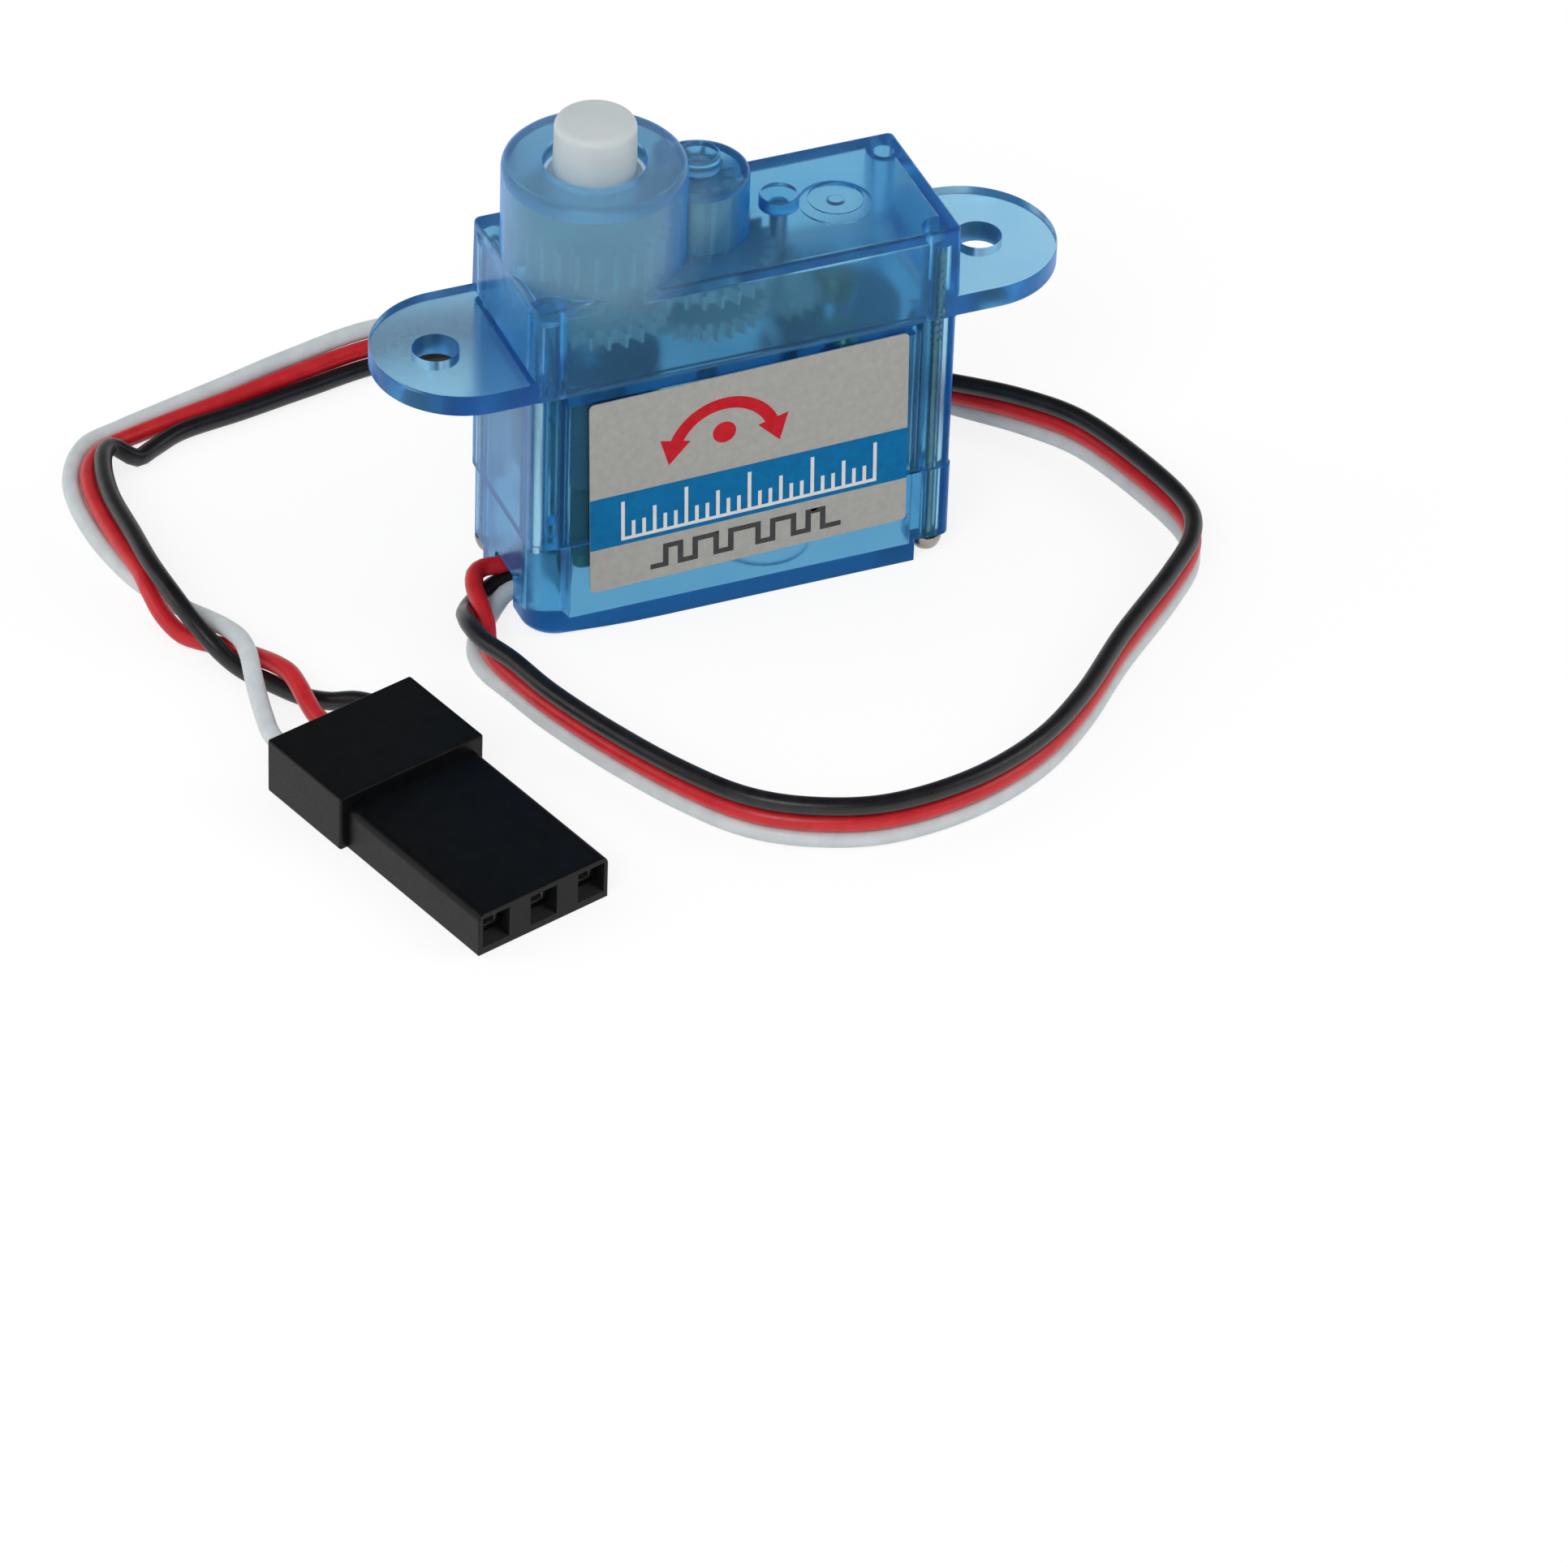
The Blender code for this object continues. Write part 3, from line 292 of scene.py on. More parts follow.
def layFloor():
    putAside()
    bpy.ops.mesh.primitive_plane_add(size=studio["floorSize"], location=(0, 0, -0.00003))
    floor = bpy.context.active_object
    floor.name = "paleFloor"
    paper = bpy.data.materials.new("paleFloorPaper")
    paper.use_nodes = True
    tree = paper.node_tree
    tree.nodes.clear()
    ray, backdrop = showsBackdrop(tree)
    amount = addNode(tree, "Mix")                # less glow where the floor is seen through plastic
    amount.inputs[2].default_value = studio["floorGlow"]
    amount.inputs[3].default_value = studio["floorGlowThrough"]
    tree.links.new(ray.outputs["Is Transmission Ray"], amount.inputs[0])
    share = addNode(tree, "Math", operation="MULTIPLY")
    tree.links.new(backdrop.outputs[0], share.inputs[0])
    tree.links.new(amount.outputs[0], share.inputs[1])
    matt = addNode(tree, "BsdfDiffuse")
    matt.inputs["Color"].default_value = (0.9, 0.9, 0.9, 1)
    glow = addNode(tree, "Emission")
    glow.inputs["Strength"].default_value = studio["floorWhite"]
    mix = addNode(tree, "MixShader")
    out = addNode(tree, "OutputMaterial")
    tree.links.new(share.outputs[0], mix.inputs[0])
    tree.links.new(matt.outputs[0], mix.inputs[1])
    tree.links.new(glow.outputs[0], mix.inputs[2])
    tree.links.new(mix.outputs[0], out.inputs["Surface"])
    floor.data.materials.append(paper)


def lightRoom():
    world = bpy.data.worlds.new("softRoom")
    bpy.context.scene.world = world
    world.use_nodes = True
    tree = world.node_tree
    tree.nodes.clear()
    ray, backdrop = showsBackdrop(tree)
    way = addNode(tree, "TexCoord")
    height = addNode(tree, "SeparateXYZ")
    tree.links.new(way.outputs["Generated"], height.inputs[0])
    # reflections get darker towards the ceiling, and so does what shows through the plastic
    fade = addNode(tree, "MapRange", From_Min=0.08, From_Max=0.45, To_Min=1.0,
                   To_Max=studio["overheadGloss"])
    tree.links.new(height.outputs["Z"], fade.inputs["Value"])
    dim = addNode(tree, "MapRange", From_Min=0.15, From_Max=0.7, To_Min=1.0,
                  To_Max=studio["overheadThrough"])
    tree.links.new(height.outputs["Z"], dim.inputs["Value"])
    through = addNode(tree, "Mix")
    through.inputs[2].default_value = 1.0
    tree.links.new(ray.outputs["Is Transmission Ray"], through.inputs[0])
    tree.links.new(dim.outputs[0], through.inputs[3])
    glossy = addNode(tree, "Mix")
    tree.links.new(through.outputs[0], glossy.inputs[2])
    tree.links.new(ray.outputs["Is Glossy Ray"], glossy.inputs[0])
    tree.links.new(fade.outputs[0], glossy.inputs[3])
    level = addNode(tree, "Mix")
    level.inputs[2].default_value = studio["roomLight"]
    tree.links.new(backdrop.outputs[0], level.inputs[0])
    tree.links.new(glossy.outputs[0], level.inputs[3])
    sky = addNode(tree, "Background")
    out = addNode(tree, "OutputWorld")
    tree.links.new(level.outputs[0], sky.inputs["Strength"])
    sky.inputs["Color"].default_value = (1, 1, 1, 1)
    tree.links.new(sky.outputs[0], out.inputs["Surface"])
    for name, place, size, power in studio["lamps"]:
        bpy.ops.object.light_add(type="AREA", location=place)
        lamp = bpy.context.active_object
        lamp.name = name
        lamp.data.shape = "DISK"
        lamp.data.size = size
        lamp.data.energy = power
        lamp.rotation_euler = (-Vector(place)).to_track_quat("-Z", "Y").to_euler()


layFloor()
lightRoom()
print("camera, floor and lamps set")


# Finishes: tone from a broad noise, roughness and bump from a fine one
def makeFinish(name, dark, light, rough, blotch=600, grain=9000, roughSpread=0.05,
               bump=0.15, depth=0.00001, metal=0.0, stretch=(1, 1, 1), **sockets):
    finish = bpy.data.materials.new(name)
    finish.use_nodes = True
    tree = finish.node_tree
    shader = tree.nodes["Principled BSDF"]
    spot = addNode(tree, "TexCoord")
    turn = addNode(tree, "Mapping", Scale=stretch)
    tree.links.new(spot.outputs["Object"], turn.inputs["Vector"])
    broad = addNode(tree, "TexNoise", Scale=blotch, Detail=3)
    tree.links.new(turn.outputs[0], broad.inputs["Vector"])
    tone = addNode(tree, "ValToRGB")
    tone.color_ramp.elements[0].position = 0.32
    tone.color_ramp.elements[0].color = (*dark, 1)
    tone.color_ramp.elements[1].position = 0.68
    tone.color_ramp.elements[1].color = (*light, 1)
    tree.links.new(broad.outputs[0], tone.inputs[0])
    tree.links.new(tone.outputs[0], shader.inputs["Base Color"])
    fine = addNode(tree, "TexNoise", Scale=grain, Detail=2)
    tree.links.new(turn.outputs[0], fine.inputs["Vector"])
    satin = addNode(tree, "MapRange", From_Min=0.3, From_Max=0.7,
                    To_Min=max(0.02, rough - roughSpread), To_Max=rough + roughSpread)
    tree.links.new(fine.outputs[0], satin.inputs["Value"])
    tree.links.new(satin.outputs[0], shader.inputs["Roughness"])
    if bump > 0:
        relief = addNode(tree, "Bump", Strength=bump, Distance=depth)
        tree.links.new(fine.outputs[0], relief.inputs["Height"])
        tree.links.new(relief.outputs[0], shader.inputs["Normal"])
    shader.inputs["Metallic"].default_value = metal
    for key, value in sockets.items():
        shader.inputs[key.replace("_", " ")].default_value = value
    return finish


def frostAround(finish, middle, reach, extra, clear, elsewhere):
    # a round patch of the plastic that came out of the mould more matt and milky
    tree = finish.node_tree
    shader = tree.nodes["Principled BSDF"]
    satin = shader.inputs["Roughness"].links[0].from_socket
    spot = addNode(tree, "TexCoord")
    place = addNode(tree, "Mapping", Location=[-value / reach for value in middle],
                    Scale=[1 / (reach * mm)] * 3)
    tree.links.new(spot.outputs["Object"], place.inputs["Vector"])
    ball = addNode(tree, "TexGradient", gradient_type="SPHERICAL")
    tree.links.new(place.outputs[0], ball.inputs["Vector"])
    patch = addNode(tree, "MapRange", From_Min=0.08, From_Max=0.3, To_Max=extra)
    tree.links.new(ball.outputs[1], patch.inputs["Value"])
    total = addNode(tree, "Math", operation="ADD")
    tree.links.new(satin, total.inputs[0])
    tree.links.new(patch.outputs[0], total.inputs[1])
    tree.links.new(total.outputs[0], shader.inputs["Roughness"])
    milk = addNode(tree, "MapRange", From_Min=0.08, From_Max=0.3, To_Min=elsewhere, To_Max=clear)
    tree.links.new(ball.outputs[1], milk.inputs["Value"])
    tree.links.new(milk.outputs[0], shader.inputs["Transmission Weight"])


clearBlue = makeFinish("clearBluePlastic", (0.57, 0.84, 0.98), (0.63, 0.88, 1.0), 0.185, blotch=350,
                       grain=5200, roughSpread=0.03, bump=0.08, depth=0.00001,
                       Transmission_Weight=1.0, IOR=1.5, Specular_Tint=(0.1, 0.7, 1.0, 1.0),
                       Sheen_Weight=1.0, Sheen_Roughness=0.45, Sheen_Tint=(0.0, 0.3, 0.9, 1.0))
tint = addNode(clearBlue.node_tree, "VolumeAbsorption")
tint.inputs["Color"].default_value = (0.0, 0.70, 0.98, 1)
tint.inputs["Density"].default_value = 400
clearBlue.node_tree.links.new(tint.outputs[0],
                              clearBlue.node_tree.nodes["Material Output"].inputs["Volume"])
coverBlue = clearBlue.copy()                     # the top cover's plastic, milky round its boss
coverBlue.name = "coverBluePlastic"
frostAround(coverBlue, (-5.85, 0, 19.9), 6.2, 0.05, 0.82, 0.97)
whiteNylon = makeFinish("whiteNylon", (0.60, 0.66, 0.675), (0.66, 0.715, 0.725), 0.4, blotch=500,
                        grain=7000, bump=0.08)
plainSteel = makeFinish("plainSteel", (0.52, 0.51, 0.50), (0.62, 0.61, 0.60), 0.3, blotch=160,
                        grain=900, roughSpread=0.02, bump=0, metal=1.0, stretch=(1, 1, 0.3))
screwSteel = makeFinish("screwSteel", (0.26, 0.24, 0.21), (0.38, 0.36, 0.33), 0.3, blotch=1100,
                        grain=2500, roughSpread=0.04, bump=0.02, metal=1.0)
turnedBrass = makeFinish("turnedBrass", (0.66, 0.47, 0.18), (0.78, 0.60, 0.28), 0.3, metal=1.0)
tinnedMetal = makeFinish("tinnedMetal", (0.58, 0.58, 0.57), (0.74, 0.74, 0.72), 0.34, metal=1.0)
blackPlastic = makeFinish("blackMouldedPlastic", (0.0025, 0.0028, 0.0034), (0.0045, 0.005, 0.006),
                          0.4, blotch=1400, grain=11000, roughSpread=0.08, bump=0.25, depth=0.00001,
                          Specular_IOR_Level=0.2)
greyPlastic = makeFinish("greyMouldedPlastic", (0.10, 0.10, 0.11), (0.15, 0.15, 0.16), 0.5)
copperWire = makeFinish("copperWire", (0.48, 0.20, 0.09), (0.66, 0.33, 0.17), 0.38, metal=1.0,
                        grain=4000, stretch=(1, 1, 6))
ferriteGrey = makeFinish("ferriteGrey", (0.05, 0.05, 0.055), (0.09, 0.09, 0.095), 0.7)
boardGreen = makeFinish("boardGreen", (0.012, 0.10, 0.05), (0.03, 0.17, 0.09), 0.38, blotch=1500)
labelSilver = makeFinish("labelSilver", (0.385, 0.385, 0.36), (0.44, 0.44, 0.41), 0.42, blotch=2600,
                         grain=14000, bump=0.12, depth=0.000008)
blackVinyl = makeFinish("blackVinyl", (0.006, 0.006, 0.008), (0.012, 0.012, 0.015), 0.36, blotch=1200,
                        grain=5000, bump=0.12)
redVinyl = makeFinish("redVinyl", (0.56, 0.008, 0.014), (0.66, 0.014, 0.022), 0.36, blotch=1200,
                      grain=5000, bump=0.12)
whiteVinyl = makeFinish("whiteVinyl", (0.60, 0.65, 0.67), (0.68, 0.73, 0.75), 0.36, blotch=1200,
                        grain=5000, bump=0.12)
blueInk = makeFinish("blueInk", (0.0, 0.15, 0.38), (0.0, 0.18, 0.44), 0.4, blotch=2400, grain=14000,
                     Specular_IOR_Level=0.1)
redInk = makeFinish("redInk", (0.56, 0.005, 0.015), (0.64, 0.012, 0.025), 0.4, blotch=2400, grain=14000,
                    Specular_IOR_Level=0.15)
whiteInk = makeFinish("whiteInk", (0.78, 0.78, 0.77), (0.84, 0.84, 0.83), 0.42, blotch=2400, grain=14000)
blackInk = makeFinish("blackInk", (0.012, 0.012, 0.014), (0.022, 0.022, 0.026), 0.42, blotch=2400,
                      grain=14000)
print("finishes made")


# Lead: three wires that lie side by side as a ribbon between their loose ends
lead = {
    "thick": 0.83,
    "pitch": 0.86,
    "pinPitch": 2.54,
    "pinHeight": 1.3,
    "wireTip": 3.7,
    "spacing": 0.35,
    "middle": [
        (-12.2, -7.3, 1.27, 88), (-11.4, -10.0, 1.27, 90), (-10.0, -13.4, 1.27, 90),
        (-8.2, -16.9, 1.27, 90), (-6.2, -19.7, 1.27, 90), (-3.7, -21.4, 1.27, 90),
        (-0.5, -22.3, 1.27, 90), (3.5, -21.9, 1.27, 90), (7.2, -20.4, 1.27, 90),
        (10.4, -18.0, 1.27, 90), (13.8, -14.6, 1.27, 90), (17.6, -11.2, 1.27, 90),
        (19.7, -8.9, 1.27, 90), (20.4, -6.6, 1.27, 90), (19.8, -2.9, 1.27, 90),
        (18.6, 0.9, 1.27, 88), (16.8, 3.4, 1.27, 84), (14.4, 5.7, 1.25, 75),
        (11.2, 8.6, 1.2, 55), (7.4, 11.6, 1.1, 30), (3.2, 14.4, 1.0, 5),
        (-1.2, 16.7, 1.0, -18), (-5.2, 18.0, 1.05, -34), (-9.1, 18.5, 1.05, -40),
        (-13.0, 18.0, 0.85, -28), (-16.4, 17.4, 0.65, -14), (-19.4, 16.9, 0.5, -3)],
    "blackStart": [
        (-7.0, 0.3, 2.85), (-7.1, 0.3, 2.1), (-7.7, 0.25, 1.4), (-8.7, 0.2, 0.9),
        (-9.9, 0.1, 0.72), (-10.8, -0.2, 0.6), (-11.6, -0.8, 0.6), (-12.3, -1.8, 0.95),
        (-12.7, -2.9, 1.55), (-12.95, -4.1, 2.0), (-12.85, -5.5, 2.12)],
    "redStart": [
        (-7.0, 1.2, 2.85), (-7.1, 1.2, 2.3), (-7.7, 1.0, 1.85), (-8.7, 0.5, 1.6),
        (-9.9, 0.25, 1.52), (-10.6, 0.25, 1.58), (-11.2, -0.1, 1.62), (-11.55, -0.9, 1.55),
        (-11.7, -2.0, 1.42), (-11.9, -3.3, 1.28), (-12.3, -4.6, 1.25), (-12.45, -5.8, 1.26)],
    "whiteStart": [
        (-7.0, -0.8, 2.85), (-7.1, -0.8, 2.1), (-7.7, -0.8, 1.4), (-8.7, -0.75, 0.95),
        (-9.9, -0.78, 0.75), (-10.6, -1.25, 0.58), (-11.4, -2.1, 0.45), (-12.3, -3.2, 0.4),
        (-12.75, -4.4, 0.4), (-12.7, -5.7, 0.4)],
    "blackEnd": [
        (-20.9, 15.3, 0.42), (-21.9, 14.7, 0.5), (-22.5, 14.9, 0.85), (-23.0, 15.1, 1.15),
        (-23.65, 14.3, 1.4), (-24.2, 12.6, 1.6), (-24.55, 10.4, 1.8), (-24.65, 7.5, 2.05),
        (-24.7, 4.8, 2.15), (-24.45, 2.6, 1.95), (-24.0, 0.9, 1.4), (-23.35, -0.5, 0.7),
        (-22.7, -1.8, 0.4), (-21.8, -3.2, 0.4), (-20.95, -4.5, 0.45), (-20.1, -5.6, 0.75),
        (-19.2, -6.4, 1.15), (-18.55, -7.2, 1.3)],
    "redEnd": [
        (-21.4, 16.4, 0.5), (-23.1, 15.75, 0.6), (-24.3, 14.4, 0.75), (-24.85, 12.6, 0.9),
        (-25.05, 10.2, 1.05), (-25.05, 7.8, 1.2), (-24.95, 5.6, 1.3), (-25.0, 4.2, 1.2),
        (-24.85, 2.8, 0.75), (-24.4, 1.6, 0.42), (-23.7, 0.8, 0.4), (-23.0, 0.2, 0.4),
        (-22.4, -0.65, 0.55), (-21.95, -1.7, 0.85), (-21.6, -2.8, 1.2), (-21.35, -3.9, 1.45),
        (-21.3, -5.0, 1.5), (-21.3, -6.2, 1.4), (-21.2, -7.3, 1.32)],
    "whiteEnd": [
        (-21.9, 17.2, 0.42), (-23.8, 16.5, 0.4), (-25.1, 14.6, 0.4), (-25.6, 12.4, 0.4),
        (-25.6, 9.8, 0.4), (-25.3, 7.6, 0.4), (-24.85, 5.8, 0.4), (-24.2, 4.3, 0.4),
        (-23.55, 3.1, 0.45), (-23.05, 1.7, 0.8), (-22.75, 0.3, 1.25), (-22.6, -1.1, 1.62),
        (-22.7, -2.4, 1.75), (-22.95, -3.7, 1.62), (-23.2, -5.1, 1.45), (-23.4, -6.5, 1.34),
        (-23.5, -7.8, 1.3)],
}
plug = {
    "x": -20.76, "y": -8.65, "turn": 16.5,
    "rearWidth": 7.7, "rearLength": 5.3, "rearHeight": 2.8,
    "noseWidth": 6.95, "noseLength": 9.3, "noseHeight": 2.2,
    "noseRound": 0.38, "edge": 0.12,
    "socketWide": 1.5, "socketHigh": 1.4, "mouth": 1.05, "lip": 0.7,
    "flareSide": 0.2, "flareLow": 0.42, "flareTop": 0.12,
}


def plugPoint(across, along, height):
    turn = Matrix.Rotation(math.radians(plug["turn"]), 3, "Z")
    return tuple(Vector((plug["x"], plug["y"], 0)) + turn @ Vector((across, -along, height)))


def besideMiddle(offset):
    # the ribbon's middle line moved sideways along the tilted ribbon
    keys = lead["middle"]
    moved = []
    for index, key in enumerate(keys):
        here = Vector(key[:3])
        ahead = Vector(keys[min(index + 1, len(keys) - 1)][:3]) - Vector(keys[max(index - 1, 0)][:3])
        left = Vector((-ahead.y, ahead.x, 0)).normalized()
        tilt = math.radians(key[3])
        moved.append(tuple(here + (left * math.cos(tilt) + Vector((0, 0, math.sin(tilt)))) * offset))
    return moved


def smoothLine(keys, spacing):
    guide = [Vector(key) for key in keys]
    guide = [2 * guide[0] - guide[1]] + guide + [2 * guide[-1] - guide[-2]]
    fine = []
    for a, b, c, d in zip(guide, guide[1:], guide[2:], guide[3:]):
        for part in range(16):
            t = part / 16
            fine.append(b + ((c - a) * t + (2 * a - 5 * b + 4 * c - d) * t * t
                             + (3 * b - a - 3 * c + d) * t ** 3) / 2)
    fine.append(guide[-2])
    run = [0.0]
    for one, two in zip(fine, fine[1:]):
        run.append(run[-1] + (two - one).length)
    count = round(run[-1] / spacing)
    even, index = [], 0
    for step in range(count + 1):
        reach = run[-1] * step / count
        while index < len(run) - 2 and run[index + 1] < reach:
            index += 1
        share = (reach - run[index]) / max(run[index + 1] - run[index], 0.000001)
        even.append(fine[index].lerp(fine[index + 1], share))
    return even, run[-1]


def layWire(name, start, offset, end, pin, finish):
    entry = [plugPoint(pin * lead["pinPitch"], along, lead["pinHeight"])
             for along in (0.2, 1.8, lead["wireTip"])]
    points, length = smoothLine(lead[start] + besideMiddle(offset) + lead[end] + entry, lead["spacing"])
    curve = bpy.data.curves.new(name, "CURVE")
    curve.dimensions = "3D"
    curve.bevel_depth = lead["thick"] / 2 * mm
    curve.bevel_resolution = 6
    curve.use_fill_caps = True
    spline = curve.splines.new("POLY")
    spline.points.add(len(points) - 1)
    for point, where in zip(spline.points, points):
        point.co = (*(where * mm), 1)
    spline.use_smooth = True
    curve.materials.append(finish)
    wire = bpy.data.objects.new(name, curve)
    bpy.context.scene.collection.objects.link(wire)
    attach(wire, "case")
    return wire, length


blackWire, blackLength = layWire("blackWire", "blackStart", lead["pitch"], "blackEnd", 1, blackVinyl)
redWire, redLength = layWire("redWire", "redStart", 0.0, "redEnd", 0, redVinyl)
whiteWire, whiteLength = layWire("whiteWire", "whiteStart", -lead["pitch"], "whiteEnd", -1, whiteVinyl)
print("wires laid", round(blackLength, 1), round(redLength, 1), round(whiteLength, 1))


# Plug: a thicker rear block, a nose with rounded long edges and three sockets
def modelPlug():
    rearHalf, noseHalf = plug["rearWidth"] / 2, plug["noseWidth"] / 2
    front = -plug["rearLength"] - plug["noseLength"]
    body = block("plugRear", (-rearHalf, -plug["rearLength"], 0), (rearHalf, 0, plug["rearHeight"]))
    roundOff(body, plug["edge"], 3, lambda a, b, turn: turn > 60)
    nose = block("plugNose", (-noseHalf, front, 0), (noseHalf, 0.5 - plug["rearLength"],
                                                     plug["noseHeight"]))
    roundOff(nose, plug["noseRound"], 6, lambda a, b, turn: abs(a.x - b.x) < 0.01
             and abs(a.z - b.z) < 0.01 and a.z > 1)
    roundOff(nose, 0.07, 2, lambda a, b, turn: a.y < front + 0.01 and b.y < front + 0.01 and turn > 60)
    roundOff(nose, 0.08, 2, lambda a, b, turn: abs(a.x - b.x) < 0.01 and a.z < 0.01 and b.z < 0.01
             and turn > 60)
    joinOn(body, nose)
    low = lead["pinHeight"] - plug["socketHigh"] / 2
    for pin in (-1, 0, 1):
        middle = pin * lead["pinPitch"]
        room = block("socketRoom", (middle - plug["socketWide"] / 2, front + plug["lip"], low),
                     (middle + plug["socketWide"] / 2, 1, low + plug["socketHigh"]))
        cutAway(body, room)
        half = plug["mouth"] / 2
        mouth = block("socketMouth", (middle - half, front - 1, lead["pinHeight"] - half),
                      (middle + half, front + 1, lead["pinHeight"] + half))
        cutAway(body, mouth)
        # the mouth is flared, most of all at its lower lip
        flare = block("socketFlare", (middle - half - plug["flareSide"], front - 0.05,
                                      lead["pinHeight"] - half - plug["flareLow"]),
                      (middle + half + plug["flareSide"], front + 0.5,
                       lead["pinHeight"] + half + plug["flareTop"]))
        pickFaces(flare, lambda at, way: way.y > 0.9)
        bpy.ops.transform.resize(value=(half / (half + plug["flareSide"]), 1, 2 * half / (
            2 * half + plug["flareLow"] + plug["flareTop"])))
        bpy.ops.transform.translate(value=(0, 0, (plug["flareLow"] - plug["flareTop"]) / 2))
        leaveEdit()
        cutAway(body, flare)
    body.location = (plug["x"], plug["y"], 0)
    body.rotation_euler = (0, 0, math.radians(plug["turn"]))
    settle(body)
    return handOver(body, "plugHousing", "case", blackPlastic, ["plug_housing"])


plugHousing = modelPlug()
for wire, node, slotName, length, exitPoint, contact in (
        (blackWire, "wire_black", "black_insulation", blackLength, (-9.9, 0.1, 0.72), "plug_contact_3"),
        (redWire, "wire_red", "red_insulation", redLength, (-9.9, 0.25, 1.52), "plug_contact_2"),
        (whiteWire, "wire_white", "white_insulation", whiteLength, (-9.9, -0.78, 0.75),
         "plug_contact_1")):
    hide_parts(node)
print("plug made")


# Case shells, shared places
case = {
    "half": 10.00027, "outputX": -5.84915, "idlerX": -0.99915, "firstX": 2.98882, "firstY": 0.31,
    "motorX": 5.57027, "screwX": 9.20027, "screwY": 3.2, "pegX": 8.80027, "pegY": 2.75,
    "wall": 0.5,
}
topCoverSize = {
    "half": 4.1, "low": 13.2, "roof": 17.85, "roofInside": 17.15, "draft": 0.06,
    "corner": 0.3, "edge": 0.2,
    "earTop": 14.25, "earTip": 16.00027, "leftHole": -13.14, "rightHole": 12.54, "hole": 1.05,
    "boss": 4.0811, "bossTop": 22.5, "bossWall": 0.38, "bossCeiling": 21.7, "bore": 2.29,
    "bump": 2.2811, "bumpTop": 21.0, "bumpWall": 0.42, "bumpCeiling": 20.4,
    "cap": 0.95, "capTop": 21.75, "peg": 0.9, "pegTop": 18.5,
    "post": 0.8, "dimple": 1.25, "dimpleDepth": 0.15, "pocket": 1.65, "pocketDepth": 0.2,
}


